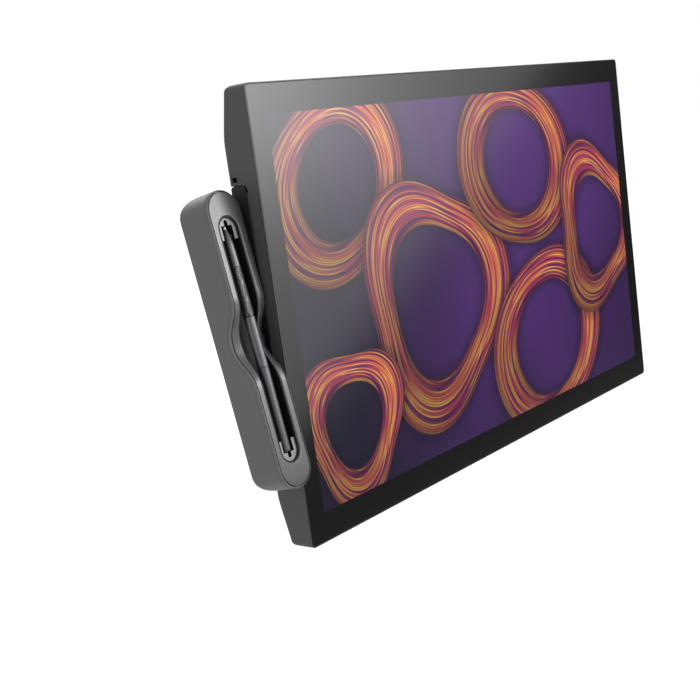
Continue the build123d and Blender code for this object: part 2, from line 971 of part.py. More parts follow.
def power_switch():
    top = height / 2 - shield_inset - switch_shelf
    half = switch_length / 2
    y = (shield_rear, shield_rear + switch_depth)
    body = block((button_x - half, button_x + half), y, (top - switch_height, top))
    contact = height / 2 - wall - button_flange_height - button_travel - touch_gap
    half = plunger_length / 2
    y = (button_y - plunger_width / 2, button_y + plunger_width / 2)
    return body + block((button_x - half, button_x + half), y, (top, contact))


# Rear grips


def grip_pad(side):
    """A rubber pad on one grip, with holes for the keys and a window for the tray's bracket."""
    inner = width / 2 - grip_width + grip_inner_corner + pad_gap
    outer = width / 2 - pad_edge
    middle = side * (inner + outer) / 2
    tall = grip_length - 2 * (grip_corner + pad_gap)
    y = (grip_face, grip_face + pad_thickness)
    body = plate(outer - inner, tall, pad_corner, y, (middle, grip_middle))
    flange_roof = grip_face + pad_thickness - key_ceiling
    for at in key_centres(side):
        gap = 2 * key_gap
        through = (grip_face - overrun, grip_face + overrun)
        body -= plate(key_length + gap, key_height + gap, key_corner, through, at)
        spare = 2 * (key_flange + key_gap)
        body -= block(
            (at[0] - (key_length + spare) / 2, at[0] + (key_length + spare) / 2),
            (grip_face - overrun, flange_roof),
            (at[1] - (key_height + spare) / 2, at[1] + (key_height + spare) / 2),
        )
    foot_inner = side * (width / 2 - ear_inset - foot_length - foot_gap)
    window = (pivot_z - foot_half - foot_gap, pivot_z + foot_half + foot_gap)
    span = sorted((foot_inner, side * (width / 2 + overrun)))
    return body - block(span, (y[0] - overrun, y[1] + overrun), window)


def shortcut_key(at):
    flange = block(
        (at[0] - key_length / 2 - key_flange, at[0] + key_length / 2 + key_flange),
        (key_roof - key_flange_thickness, key_roof),
        (at[1] - key_height / 2 - key_flange, at[1] + key_height / 2 + key_flange),
    )
    rise = (key_roof, grip_face + pad_thickness + key_proud)
    return flange + plate(key_length, key_height, key_corner, rise, at)


def key_boards():
    boards = []
    for side in (-1, 1):
        x = side * (width / 2 - key_inset)
        for low, high in key_board_spans():
            half = key_board_width / 2
            body = block((x - half, x + half), (grip_face - key_board_sink, key_board_face), (low, high))
            for at in key_centres(side):
                if low < at[1] < high:
                    body += rod(key_dome_radius, "y", (key_board_face, key_dome_top), at)
            boards.append(body)
    return group(boards)


# Pen tray, modelled upright about its hinge axis


def scoop_edges(y, half_length):
    """The tray's front line from its top to its bottom, with the finger scoop in the middle."""
    slope = math.radians(scoop_angle)
    rise, run = math.sin(slope), math.cos(slope)
    radius = (scoop_half * rise / run - scoop_depth) / (2 * (1 / run - 1))
    near = y + radius * (1 - run)
    far = y + scoop_depth - radius * (1 - run)
    middle = math.radians(scoop_angle / 2)
    shoulder_y = y + radius * (1 - math.cos(middle))
    floor_y = y + scoop_depth

    edges = []
    for way in (1, -1):
        shoulder = (near, way * (scoop_half - radius * rise))
        bend = (shoulder_y, way * (scoop_half - radius * math.sin(middle)))
        flank = (far, way * radius * rise)
        edges.append(Line((y, way * half_length), (y, way * scoop_half)))
        edges.append(ThreePointArc((y, way * scoop_half), bend, shoulder))
        edges.append(Line(shoulder, flank))
    edges.append(ThreePointArc((far, radius * rise), (floor_y, 0), (far, -radius * rise)))
    return edges


def scooped_form(prism, half_length, front_y, rear_y, rear_radius):
    """An upright prism cut to the scooped front line and a flat rear with rounded ends."""
    edges = scoop_edges(front_y, half_length)
    edges.append(Line((front_y, half_length), (rear_y, half_length)))
    edges.append(Line((rear_y, half_length), (rear_y, -half_length)))
    edges.append(Line((rear_y, -half_length), (front_y, -half_length)))
    face = make_face(side_plane(-tray_width) * Curve(edges))
    if rear_radius:
        corners = [v for v in face.vertices() if abs(v.Y - rear_y) < touch_gap]
        face = fillet(corners, rear_radius)
    return prism & extrude(face, amount=2 * tray_width)


def tray_form(inset, front_y, rear_y):
    """The tray's stadium form, drawn in from its outside by an inset."""
    whole = (tray_front - overrun, tray_rear + overrun)
    prism = slot_prism(tray_length - 2 * inset, tray_width - 2 * inset, whole)
    return scooped_form(prism, tray_length / 2 - inset, front_y, rear_y, tray_rear_radius - inset)


def tray_screw_places():
    return [(0, share * channel_length / 2) for share in liner_boss_shares]


def tray_shell():
    body = tray_form(0, tray_front, tray_rear)
    body -= tray_form(tray_wall, tray_front - overrun, tray_rear - tray_wall)
    step = (tray_front - overrun, tray_rear + overrun)
    seat = slot_prism(tray_length - 2 * cover_inset, tray_width - 2 * cover_inset, step)
    reach = tray_length / 2 - cover_inset
    rebate = scooped_form(seat, reach, tray_front - overrun, tray_rear, 0)
    floor = scooped_form(seat, reach, tray_front + cover_thickness, tray_rear + overrun, 0)
    body -= rebate - floor
    inner = tray_width / 2 - tray_wall
    body += rod(tray_boss_radius, "x", (inner - tray_boss_height, inner), (0, 0))
    body -= rod(pin_radius + pin_running_gap, "x", (inner - overrun, tray_width), (0, 0))
    for at in tray_screw_places():
        body -= rod(tray_screw_radius, "y", (tray_rear - overrun, tray_rear + overrun), at)
        body -= rod(tray_screw_head, "y", (tray_rear - tray_screw_head_height, tray_rear + overrun), at)
    return body


def tray_cover():
    inset = cover_inset + cover_gap
    step = (tray_front - overrun, tray_rear + overrun)
    prism = slot_prism(tray_length - 2 * inset, tray_width - 2 * inset, step)
    reach = tray_length / 2 - inset
    body = scooped_form(prism, reach, tray_front, tray_rear, 0)
    body -= scooped_form(prism, reach, tray_front + cover_thickness, tray_rear + overrun, 0)
    return body - slot_prism(channel_length, channel_width, step)


def tray_liner():
    """The dark trough in the channel, with four bosses back to the shell."""
    outer_width = channel_width - 2 * liner_gap
    outer_length = channel_length - 2 * liner_gap
    step = (tray_front - overrun, tray_rear + overrun)
    prism = slot_prism(outer_length, outer_width, step)
    body = scooped_form(prism, outer_length / 2, tray_front + channel_chamfer, liner_bottom, 0)
    cavity = (tray_front - overrun, tray_front + liner_depth)
    body -= slot_prism(outer_length - 2 * liner_wall, outer_width - 2 * liner_wall, cavity)
    rear = tray_rear - tray_wall
    for at in tray_screw_places():
        body += rod(liner_boss_radius, "y", (liner_bottom, rear), at)
    for at in tray_screw_places():
        body -= rod(tray_screw_radius, "y", (rear - tray_screw_length, rear + overrun), at)
    return body


def pen_cradle(end):
    """A seat for one end of the pen: 1 is the upper one and -1 the lower one."""
    spare = 2 * (liner_gap + liner_wall + cradle_gap)
    top = tray_front + cradle_drop
    floor = tray_front + liner_depth
    body = slot_prism(channel_length - spare, channel_width - spare, (top, floor))
    pocket_end = pocket_high if end > 0 else pocket_low
    reach = (channel_length - spare) / 2
    tip = end * (reach - cradle_arm)
    body &= block((-channel_width, channel_width), (top, floor), sorted((tip, end * channel_length)))
    half = pocket_width / 2
    run = sorted((tip - end * overrun, pocket_end))
    hollow = block((-half, half), (top - overrun, tray_front + pocket_floor), run)
    saddle = sorted((tip + end * saddle_setback, tip + end * (saddle_setback + saddle_thickness)))
    hollow -= block((-channel_width, channel_width), (pen_y, floor), saddle)
    body -= hollow
    body -= pen_form(pen_seat_gap)
    hole_end = pocket_end + end * keyhole_reach
    middle = hole_end - end * keyhole_width / 2
    depth_span = (top - overrun, tray_front + pocket_floor)
    body -= rod(keyhole_width / 2, "y", depth_span, (0, middle))
    half = keyhole_width / 2
    body -= block((-half, half), depth_span, sorted((pocket_end - end * overrun, middle)))
    return body


def tray_screws():
    screws = []
    for at in tray_screw_places():
        seat = tray_rear - tray_screw_head_height
        foot = tray_rear - tray_wall - tray_screw_length
        shank = rod(tray_screw_radius, "y", (foot, seat), at)
        screws.append(shank + rod(tray_screw_head, "y", (seat, tray_rear), at))
    return group(screws)


# Tray hinge, fixed to the casing


def tray_bracket():
    """The tray's steel bracket: a foot on the grip's floor and a long ear that closes the grip's side."""
    outer = side_x + ear_inset
    foot_z = (pivot_z - foot_half, pivot_z + foot_half)
    foot = block((outer, outer + foot_length), (grip_face, grip_face + foot_thickness), foot_z)
    ear_z = (pivot_z - ear_half, pivot_z + ear_half)
    ear = block((outer, outer + ear_thickness), (grip_face, -ear_rear_gap), ear_z)
    near, far = grip_face + pad_thickness + ear_pad_gap, -ear_rear_gap
    outline = RectangleRounded(far - near, grip_length - 2 * ear_end_gap, ear_corner)
    strip = side_plane(outer) * (Pos((near + far) / 2, grip_middle) * outline)
    body = foot + ear + extrude(strip, amount=ear_thickness)
    body -= rod(pin_radius, "x", (outer - overrun, outer + overrun), (pivot_y, pivot_z))
    for at in foot_screw_places(-1):
        body -= rod(foot_screw_radius, "y", (grip_face - overrun, grip_face + foot_thickness + overrun), at)
    return body


def bracket_screws():
    screws = []
    for at in foot_screw_places(-1):
        seat = grip_face + foot_thickness
        shank = rod(foot_screw_radius, "y", (grip_face - wall, seat), at)
        screws.append(shank + rod(foot_screw_head, "y", (seat, seat + foot_screw_head_height), at))
    return group(screws)


def nut_span():
    """The nut's two faces in X, inside the tray."""
    wall_face = side_x - tray_side_gap - tray_wall - tray_boss_height - nut_gap
    return wall_face - nut_thickness, wall_face


def pivot_pin():
    head = side_x + ear_inset + ear_thickness
    at = (pivot_y, pivot_z)
    shank = rod(pin_radius, "x", (nut_span()[0] - pin_tail, head), at)
    return shank + rod(pin_head_radius, "x", (head, head + pin_head_height), at)


def friction_washers():
    """The washers that hold the tray at the angle it is set to."""
    low = side_x - tray_side_gap
    thickness = (tray_side_gap + ear_inset) / washer_count
    washers = []
    for step in range(washer_count):
        span = (low + step * thickness, low + (step + 1) * thickness)
        disc = rod(washer_radius, "x", span, (pivot_y, pivot_z))
        washers.append(disc - rod(pin_radius, "x", (low - overrun, low + overrun), (pivot_y, pivot_z)))
    return group(washers)


def pivot_nut():
    low, high = nut_span()
    outline = Plane(origin=(low, pivot_y, pivot_z), x_dir=(0, 1, 0), z_dir=(1, 0, 0))
    body = extrude(outline * RegularPolygon(nut_size / 2, 6, major_radius=False), amount=high - low)
    return body - rod(pin_radius, "x", (low - overrun, high + overrun), (pivot_y, pivot_z))


# Pen, modelled along the tray's own Z with its tip up


def turned(points):
    """A solid of revolution on the pen's axis, from radius and distance behind the tip."""
    outline = [(radius, pen_tip_z - behind) for radius, behind in points]
    face = make_face(Plane.XZ * Polyline(*outline, close=True))
    return Pos(0, pen_y, 0) * revolve(face, axis=Axis.Z)


def outer_radius(behind):
    """The pen's outer radius at a distance behind the tip."""
    stations = (
        (nib_exposed, cone_tip_radius),
        (cone_shoulder, cone_shoulder_radius),
        (cone_end, cone_end_radius),
        (grip_end, barrel_radius),
        (seam_position, barrel_radius),
        (pen_length, tail_end_radius),
    )
    for (start, r0), (stop, r1) in zip(stations, stations[1:]):
        if behind <= stop:
            return r0 + (r1 - r0) * (behind - start) / (stop - start)
    return tail_end_radius


def pen_form(grow):
    """The whole pen's outer form, grown by a clearance."""
    points = [(0, -grow), (nib_radius + grow, -grow)]
    for behind in (nib_exposed, cone_shoulder, cone_end, grip_end, seam_position):
        points.append((outer_radius(behind) + grow, behind))
    points.append((tail_end_radius + grow, pen_length + grow))
    points.append((0, pen_length + grow))
    return turned(points)


def sleeve(start, stop, bore, shrink=0):
    """A straight or tapering tube of the pen."""
    points = [
        (bore, start),
        (outer_radius(start) - shrink, start),
        (outer_radius(stop) - shrink, stop),
        (bore, stop),
    ]
    return turned(points)


def pen_nib():
    body = turned([(0, 0), (nib_radius, 0), (nib_radius, nib_length), (0, nib_length)])
    tip = [e for e in body.edges() if abs(e.center().Z - pen_tip_z) < touch_gap]
    return fillet(tip, nib_radius * nib_round_share)


def pen_cone():
    bore = nib_radius + nib_bore_gap
    points = [
        (bore, nib_exposed),
        (cone_tip_radius, nib_exposed),
        (cone_shoulder_radius, cone_shoulder),
        (cone_end_radius, cone_end),
        (cone_cavity_radius, cone_end),
        (cone_cavity_radius, cone_cavity_start),
        (bore, cone_cavity_start),
    ]
    return turned(points)


def pen_coil():
    inner = nib_radius + coil_bore_gap
    points = [
        (inner, coil_start),
        (cone_cavity_radius, coil_start),
        (cone_cavity_radius, coil_end),
        (inner, coil_end),
    ]
    return turned(points)


def button_frame(behind):
    """A frame on the pen's axis whose own z points out through the side buttons."""
    place = Pos(0, pen_y, pen_tip_z - behind) * Rot(0, 0, -pen_button_angle)
    return place * Rot(90, 0, 0)


def button_prism(length, breadth, low, high):
    """A pill along the pen, between two distances from its axis."""
    outline = Pos(0, 0, low) * Rot(0, 0, 90) * SlotOverall(length, breadth)
    return extrude(outline, amount=high - low)


def pen_grip():
    """The front barrel, with a shallow island round the three side buttons."""
    body = sleeve(cone_end, grip_end, barrel_bore)
    first, last = pen_button_places[0], pen_button_places[-1]
    island = (last - first) + pen_button_length + 2 * pen_island_margin
    middle = (first + last) / 2
    cutter = button_frame(middle) * button_prism(island, pen_island_width, 0, barrel_radius + overrun)
    cutter &= turned([(0, 0), (barrel_radius * 2, 0), (barrel_radius * 2, pen_length), (0, pen_length)])
    cutter -= turned(
        [
            (0, 0),
            (outer_radius(cone_end) - pen_island_depth, 0),
            (outer_radius(cone_end) - pen_island_depth, cone_end),
            (outer_radius(grip_end) - pen_island_depth, grip_end),
            (0, grip_end),
        ]
    )
    body -= cutter
    for behind in pen_button_places:
        gap = 2 * pen_button_gap
        hole = button_prism(pen_button_length + gap, pen_button_width + gap, 0, barrel_radius + overrun)
        body -= button_frame(behind) * hole
    return body


def pen_button(behind):
    reach = outer_radius(behind) + pen_button_proud
    base = pen_button_base
    body = button_frame(behind) * button_prism(pen_button_length, pen_button_width, base, reach + overrun)
    low = behind - pen_button_length
    high = behind + pen_button_length
    near = outer_radius(low) + pen_button_proud
    far = outer_radius(high) + pen_button_proud
    body &= turned([(0, low), (near, low), (far, high), (0, high)])
    long = pen_button_length + 2 * pen_button_flange
    top = base + pen_button_flange_height
    return body + button_frame(behind) * button_prism(long, pen_button_width, base, top)


def pen_ring():
    return sleeve(grip_end, grip_end + ring_length, barrel_bore, ring_groove)


def pen_middle():
    return sleeve(grip_end + ring_length, seam_position, barrel_bore)


def pen_tail():
    points = [
        (barrel_bore, seam_position),
        (outer_radius(seam_position), seam_position),
        (tail_end_radius, pen_length),
        (0, pen_length),
        (0, pen_length - 2 * tail_round),
        (barrel_bore, pen_length - 2 * tail_round),
    ]
    body = turned(points)
    low = pen_tip_z - pen_length
    edges = [e for e in body.edges() if abs(e.center().Z - low) < touch_gap]
    return fillet(edges, tail_round)


def pen_board():
    """The pen's board, with its pressure sensor behind the nib and a switch under each button."""
    sensor = turned(
        [
            (0, pen_sensor_start),
            (cone_cavity_radius, pen_sensor_start),
            (cone_cavity_radius, cone_end),
            (0, cone_end),
        ]
    )
    half = pen_board_thickness / 2
    length = pen_board_end - cone_end
    middle = (pen_board_end + cone_end) / 2
    frame = button_frame(middle)
    strip = frame * block((-pen_board_half, pen_board_half), (-length / 2, length / 2), (-half, half))
    body = sensor + strip
    contact = pen_button_base - pen_button_travel - touch_gap
    for behind in pen_button_places:
        body += button_frame(behind) * button_prism(pen_button_width, pen_button_width / 2, half, contact)
    return body


def tray_place():
    """Where the tray and the pen stand: on the hinge axis, tilted back."""
    return Pos(tray_x, pivot_y, pivot_z) * Rot(tray_tilt, 0, 0)


def display_pieces():
    pieces = {
        "cover_glass": cover_glass(),
        "front_frame": front_frame(),
        "lcd_cell": lcd_cell(),
        "light_guide": light_guide(),
        "led_strip": led_strip(),
        "backlight_pan": backlight_pan(),
        "pen_sensor_board": pen_sensor_board(),
        "shield_plate": shield_plate(),
        "rear_cover": rear_cover(),
        "casing_screws": casing_screws(),
        "mount_plate": mount_plate(),
        "main_board": main_board(),
        "power_board": power_board(),
        "board_screws": board_screws(),
        "usb_ports": usb_ports(),
        "video_ports": video_ports(),
        "power_inlet": power_inlet(),
        "heat_spreader": heat_spreader(),
        "heat_pipe": heat_pipe(),
        "cooling_fins": cooling_fins(),
        "fan_housings": fan_housings(),
        "power_button": power_button(),
        "power_switch": power_switch(),
        "key_boards": key_boards(),
    }
    for name, side in (("left", -1), ("right", 1)):
        pieces["fan_rotor_" + name] = fan_rotor(side)
        pieces["grip_pad_" + name] = grip_pad(side)
        for number, at in enumerate(key_centres(side), start=1):
            pieces[f"shortcut_key_{name}_{number}"] = shortcut_key(at)
    return pieces


def hinge_pieces():
    return {
        "tray_bracket": tray_bracket(),
        "bracket_screws": bracket_screws(),
        "pivot_pin": pivot_pin(),
        "friction_washers": friction_washers(),
        "pivot_nut": pivot_nut(),
    }


def tray_pieces():
    pieces = {
        "tray_shell": tray_shell(),
        "tray_cover": tray_cover(),
        "tray_liner": tray_liner(),
        "cradle_upper": pen_cradle(1),
        "cradle_lower": pen_cradle(-1),
        "tray_screws": tray_screws(),
        "pen_nib": pen_nib(),
        "pen_cone": pen_cone(),
        "pen_coil": pen_coil(),
        "pen_grip": pen_grip(),
        "pen_ring": pen_ring(),
        "pen_middle": pen_middle(),
        "pen_tail": pen_tail(),
        "pen_board": pen_board(),
    }
    for number, behind in enumerate(pen_button_places, start=1):
        pieces[f"pen_button_{number}"] = pen_button(behind)
    return pieces


def main():
    os.makedirs("parts", exist_ok=True)
    pieces = display_pieces() | hinge_pieces()
    for name, shape in tray_pieces().items():
        pieces[name] = tray_place() * shape
    for name, shape in pieces.items():
        export_step(shape, os.path.join("parts", name + ".step"))
    print(len(pieces), "pieces, display", width, height, depth)


if __name__ == "__main__":
    main()
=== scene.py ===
"""The looks of a drawing display with a tilting pen tray: shells, screen picture, finishes and studio."""

import json
import logging
from collections.abc import Callable, Sequence
from dataclasses import dataclass, field
from enum import Enum
from math import cos, pi, radians, sin, sqrt

import bmesh
import bpy
from bmesh.types import BMesh
from bpy.types import ID, Material, Node, NodeTree, Object
from bpy.types import NodeSocket as Socket
from mathutils import Matrix, Vector
from mathutils.bvhtree import BVHTree

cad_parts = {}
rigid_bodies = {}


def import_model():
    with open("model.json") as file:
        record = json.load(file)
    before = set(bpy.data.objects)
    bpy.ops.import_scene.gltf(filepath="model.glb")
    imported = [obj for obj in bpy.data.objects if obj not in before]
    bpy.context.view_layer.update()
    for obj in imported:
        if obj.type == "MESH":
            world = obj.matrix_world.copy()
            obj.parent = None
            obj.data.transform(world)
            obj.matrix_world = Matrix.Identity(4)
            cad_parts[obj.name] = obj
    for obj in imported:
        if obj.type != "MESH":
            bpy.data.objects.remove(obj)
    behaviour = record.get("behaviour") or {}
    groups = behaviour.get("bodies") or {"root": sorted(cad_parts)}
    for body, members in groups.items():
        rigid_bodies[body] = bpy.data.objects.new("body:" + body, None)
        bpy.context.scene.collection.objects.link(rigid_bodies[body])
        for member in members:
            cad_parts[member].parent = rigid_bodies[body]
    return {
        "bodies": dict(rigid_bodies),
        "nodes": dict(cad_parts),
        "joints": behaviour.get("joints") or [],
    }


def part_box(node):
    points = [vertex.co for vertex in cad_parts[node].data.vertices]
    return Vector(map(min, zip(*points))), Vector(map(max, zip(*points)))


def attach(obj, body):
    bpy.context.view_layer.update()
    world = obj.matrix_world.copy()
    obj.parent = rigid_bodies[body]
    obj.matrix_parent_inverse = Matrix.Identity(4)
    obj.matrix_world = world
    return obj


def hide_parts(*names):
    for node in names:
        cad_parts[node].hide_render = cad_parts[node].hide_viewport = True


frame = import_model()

LOG = logging.getLogger("display")
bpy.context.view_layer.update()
MM = 0.001
MERGE, TINY = 0.002 * MM, 0.001 * MM
CREASE = radians(32.0)

Colour = tuple[float, float, float, float]
Pair = tuple[float, float]
Spot = tuple[float, float, float]
Row = list[Spot]
Profile = tuple[Pair, ...]
Rise = Callable[[float, float], float]


# Small helpers for node trees


class Graph:
    """A material's or world's node tree, with short calls to add and link nodes."""

    def __init__(self, tree: NodeTree) -> None:
        """Takes a tree and empties it."""
        self.tree = tree
        tree.nodes.clear()

    def add(self, kind: str, settings: dict | None = None, *first: object, **inputs: object) -> Node:
        """Adds one node.

        Args:
            kind: The node's type, without its ShaderNode prefix.
            settings: The node's own properties.
            *first: Values or sockets for its first inputs.
            **inputs: Values or sockets for its inputs, by name with _ for a space.

        Returns:
            The node.
        """
        node = self.tree.nodes.new("ShaderNode" + kind)
        for name, value in (settings or {}).items():
            setattr(node, name, value)
        for index, value in enumerate(first):
            self.put(node, index, value)
        for name, value in inputs.items():
            self.put(node, name.replace("_", " "), value)
        return node

    def put(self, node: Node, name: str | int, value: object) -> None:
        """Sets or links one input of a node.

        Args:
            node: The node.
            name: The input's name or number.
            value: A value, or the socket that feeds it.
        """
        target = node.inputs[name]
        if isinstance(value, Socket):
            self.tree.links.new(value, target)
        else:
            target.default_value = value

    def math(self, operation: str, first: object, second: object = 0.0, clamp: bool = False) -> Socket:
        """Adds one arithmetic step, such as MULTIPLY, on two numbers or sockets."""
        return self.add("Math", {"operation": operation, "use_clamp": clamp}, first, second).outputs[0]

    def noise(self, place: Socket, scale: float, detail: float) -> Socket:
        """Adds a cloudy pattern of a scale and a detail."""
        return self.add("TexNoise", Vector=place, Scale=scale, Detail=detail).outputs["Fac"]

    def blend(self, share: object, first: object, second: object, mode: str = "MIX") -> Socket:
        """Mixes two colours.

        Args:
            share: How much of the second colour shows.
            first: The colour underneath.
            second: The colour on top.
            mode: How they mix.

        Returns:
            The mixed colour's socket.
        """
        node = self.add("Mix", {"data_type": "RGBA", "blend_type": mode})
        for index, value in ((0, share), (6, first), (7, second)):
            self.put(node, index, value)
        return node.outputs[2]

    def ramp(self, value: object, stops: Sequence[tuple[float, Colour]]) -> Socket:
        """Turns a number into a colour.

        Args:
            value: The number's socket.
            stops: Pairs of place and colour.

        Returns:
            The colour's socket.
        """
        node = self.add("ValToRGB", Fac=value)
        elements = node.color_ramp.elements
        while len(elements) < len(stops):
            elements.new(1.0)
        for element, (place, colour) in zip(elements, stops):
            element.position, element.color = place, colour
        return node.outputs["Color"]

    def seen(self) -> Socket:
        """Tells the rays that show a thing, straight or in glass, from those that light the set.

        Returns:
            A socket that is 1 for camera, glossy and transmission rays, and 0 for others.
        """
        path = self.add("LightPath").outputs
        seen = self.math("MAXIMUM", path["Is Camera Ray"], path["Is Glossy Ray"])
        return self.math("MAXIMUM", seen, path["Is Transmission Ray"])


def new_material(name: str) -> tuple[Material, Graph]:
    """Makes an empty material.

    Args:
        name: Its name.

    Returns:
        The material and its nodes.
    """
    made = bpy.data.materials.new(name)
    made.use_nodes = True
    return made, Graph(made.node_tree)


def tone(red: int, green: int, blue: int) -> Colour:
    """Turns a screen colour, from 0 to 255, into the linear colour that the shaders take."""
    linear = [(v / 255 / 12.92) if v < 11 else ((v / 255 + 0.055) / 1.055) ** 2.4 for v in (red, green, blue)]
    return (*linear, 1.0)


# Finishes


class Texture(Enum):
    """The fine pattern in a finish's surface."""

    GRAIN = "grain"
    SPARK = "spark"
    BRUSHED = "brushed"
    TURNED = "turned"
    DOTS = "dots"
    BOARD = "board"


@dataclass(frozen=True)
class Finish:
    """One surface finish: its colour, its gloss and the detail in its surface.

    The cloud is the scale and the detail of its mottling. The lid is a direction and a place along it, in
    millimetres, before which the finish turns black.
    """

    name: str
    colour: Colour
    roughness: float
    texture: Texture = Texture.GRAIN
    metallic: float = 0.0
    specular: float = 0.5
    pitch: float = 0.4
    relief: float = 0.02
    strength: float = 0.3
    mottle: float = 0.06
    smear: float = 0.06
    transmission: float = 0.0
    cloud: Pair = (14.0, 3.0)
    lid: Colour | None = None

    def material(self) -> Material:
        """Makes the finish's material once, and finds it again later.

        Returns:
            The material.
        """
        label = f"{self.name}_finish"
        made = bpy.data.materials.get(label)
        if made:
            return made
        made, graph = new_material(label)
        place = graph.add("TexCoord").outputs["Object"]
        height, tint = self.pattern(graph, place)
        cloud = graph.noise(place, *self.cloud)
        sways = (1 - self.mottle, 1 + self.mottle)
        low, high = ((*[part * sway for part in self.colour[:3]], 1.0) for sway in sways)
        colour = graph.blend(cloud, low, high)
        if tint is not None:
            colour = tint(colour)
        if self.lid is not None:
            away = graph.add("VectorMath", {"operation": "DOT_PRODUCT"}, place, self.lid[:3])
            top = graph.math("LESS_THAN", away.outputs["Value"], self.lid[3] * MM)
            colour = graph.blend(top, LID_BLACK, colour)
        least, most = self.roughness - self.smear, self.roughness + self.smear
        rough = graph.add("MapRange", Value=cloud, To_Min=least, To_Max=most)
        bump = graph.add("Bump", Strength=self.strength, Distance=self.relief * MM, Height=height)
        shader = graph.add(
            "BsdfPrincipled",
            Base_Color=colour,
            Metallic=self.metallic,
            Roughness=rough.outputs["Result"],
            Specular_IOR_Level=self.specular,
            Transmission_Weight=self.transmission,
            Normal=bump.outputs["Normal"],
        )
        graph.add("OutputMaterial", Surface=shader.outputs[0])
        made.diffuse_color = self.colour
        return made

    def pattern(self, graph: Graph, place: Socket) -> tuple[Socket, Callable[[Socket], Socket] | None]:
        """Adds the fine pattern.

        Args:
            graph: The material's nodes.
            place: Where a point lies on the piece.

        Returns:
            The pattern's height, and a step that tints the colour with it, if it has one.
        """
        scale = 1 / (self.pitch * MM)
        if self.texture is Texture.SPARK:
            cell = graph.add("TexVoronoi", {"feature": "SMOOTH_F1"}, Vector=place, Scale=scale)
            fine = graph.noise(place, scale * SPARK_FINENESS, SPARK_DETAIL)
            height = graph.math("ADD", cell.outputs["Distance"], graph.math("MULTIPLY", fine, SPARK_HEIGHT))
            return height, lambda colour: graph.blend(SPARK_TINT, colour, graph.blend(fine, DARK, colour))
        if self.texture in RUNS:
            stretch, detail, share = RUNS[self.texture]
            run = graph.add("Mapping", Vector=place, Scale=stretch)
            height = graph.noise(run.outputs[0], scale, detail)
            return height, lambda colour: graph.blend(share, colour, graph.ramp(height, GREY_RAMP), "OVERLAY")
        if self.texture is Texture.DOTS:
            cell = graph.add("TexVoronoi", {"feature": "F1"}, Vector=place, Scale=scale, Randomness=0.0)
            dome = graph.math("SUBTRACT", DOT_RADIUS, cell.outputs["Distance"], clamp=True)
            return graph.math("SQRT", dome), None
        if self.texture is Texture.BOARD:
            cell = graph.add("TexVoronoi", {"feature": "DISTANCE_TO_EDGE"}, Vector=place, Scale=scale)
            track = graph.math("LESS_THAN", cell.outputs["Distance"], TRACK_WIDTH)
            return track, lambda colour: graph.blend(graph.math("MULTIPLY", track, TRACK_TINT), colour, TRACK)
        return graph.noise(place, scale, GRAIN_DETAIL), None


DARK = (0.0, 0.0, 0.0, 1.0)
EASE = {"interpolation_type": "SMOOTHSTEP"}
RUNS = {Texture.BRUSHED: ((0.04, 1.0, 1.0), 3.0, 0.12), Texture.TURNED: ((0.02, 0.02, 1.0), 2.0, 0.1)}
SPARK_FINENESS, SPARK_DETAIL, SPARK_HEIGHT, SPARK_TINT = 2.1, 2.0, 0.5, 0.18
DOT_RADIUS, GRAIN_DETAIL = 0.42, 4.0
TRACK_WIDTH, TRACK_TINT, TRACK = 0.07, 0.6, tone(58, 128, 84)
LID, LID_BLACK = (0.0, 0.98529, -0.1709, -22.08), tone(10, 10, 11)
GREY_RAMP = ((0.35, (0.15, 0.15, 0.15, 1.0)), (0.65, (0.85, 0.85, 0.85, 1.0)))

CASING = Finish("casing_plastic", tone(72, 72, 73), 0.5, Texture.SPARK, specular=0.35, pitch=0.35, relief=0.03)
SHELL = Finish("tray_shell_plastic", tone(108, 108, 109), 0.5, Texture.SPARK, specular=0.28, pitch=0.7, relief=0.06)
FRAME = Finish("frame_anodised", tone(58, 58, 60), 0.45, Texture.BRUSHED, metallic=0.3, pitch=0.2)
COVER = Finish("tray_cover_satin", tone(78, 78, 79), 0.35, metallic=0.4, pitch=0.25, strength=0.2)
CRADLE = Finish("cradle_satin", tone(112, 112, 113), 0.44, metallic=0.3, pitch=0.25, strength=0.2, lid=LID)
LINER = Finish("channel_black", tone(12, 12, 13), 0.6, Texture.SPARK, specular=0.25, pitch=0.5, relief=0.03)
RUBBER = Finish("grip_rubber", tone(30, 30, 31), 0.68, Texture.DOTS, pitch=2.0, relief=0.35, strength=0.7)
KEY = Finish("key_plastic", tone(44, 44, 46), 0.4, pitch=0.3)
BLACK = Finish("black_plastic", tone(24, 24, 25), 0.45)
PEN_BODY = Finish("pen_satin", tone(74, 74, 76), 0.38, Texture.TURNED, metallic=0.7, pitch=0.12, strength=0.12)
PEN_KEY = Finish("pen_key_satin", tone(78, 78, 80), 0.36, metallic=0.6, pitch=0.2, strength=0.1)
PEN_NIB = Finish("nib_plastic", tone(205, 205, 200), 0.4, pitch=0.2)
PEN_RING = Finish("pen_ring_metal", tone(62, 62, 64), 0.32, Texture.TURNED, metallic=1.0, pitch=0.1, strength=0.1)
STEEL = Finish("steel_satin", tone(150, 151, 154), 0.34, Texture.BRUSHED, metallic=1.0, pitch=0.25)
DARK_STEEL = Finish("dark_steel", tone(74, 74, 77), 0.4, metallic=1.0, pitch=0.2)
COATED = Finish("black_coated_steel", tone(16, 16, 17), 0.5, specular=0.3, pitch=0.3)
SCREW = Finish("screw_black_zinc", tone(52, 52, 55), 0.34, Texture.TURNED, metallic=1.0, pitch=0.15)
ALUMINIUM = Finish("cooling_aluminium", tone(186, 187, 190), 0.36, Texture.BRUSHED, metallic=1.0, pitch=0.3)
COPPER = Finish("copper", tone(196, 120, 82), 0.3, Texture.TURNED, metallic=1.0, pitch=0.25)
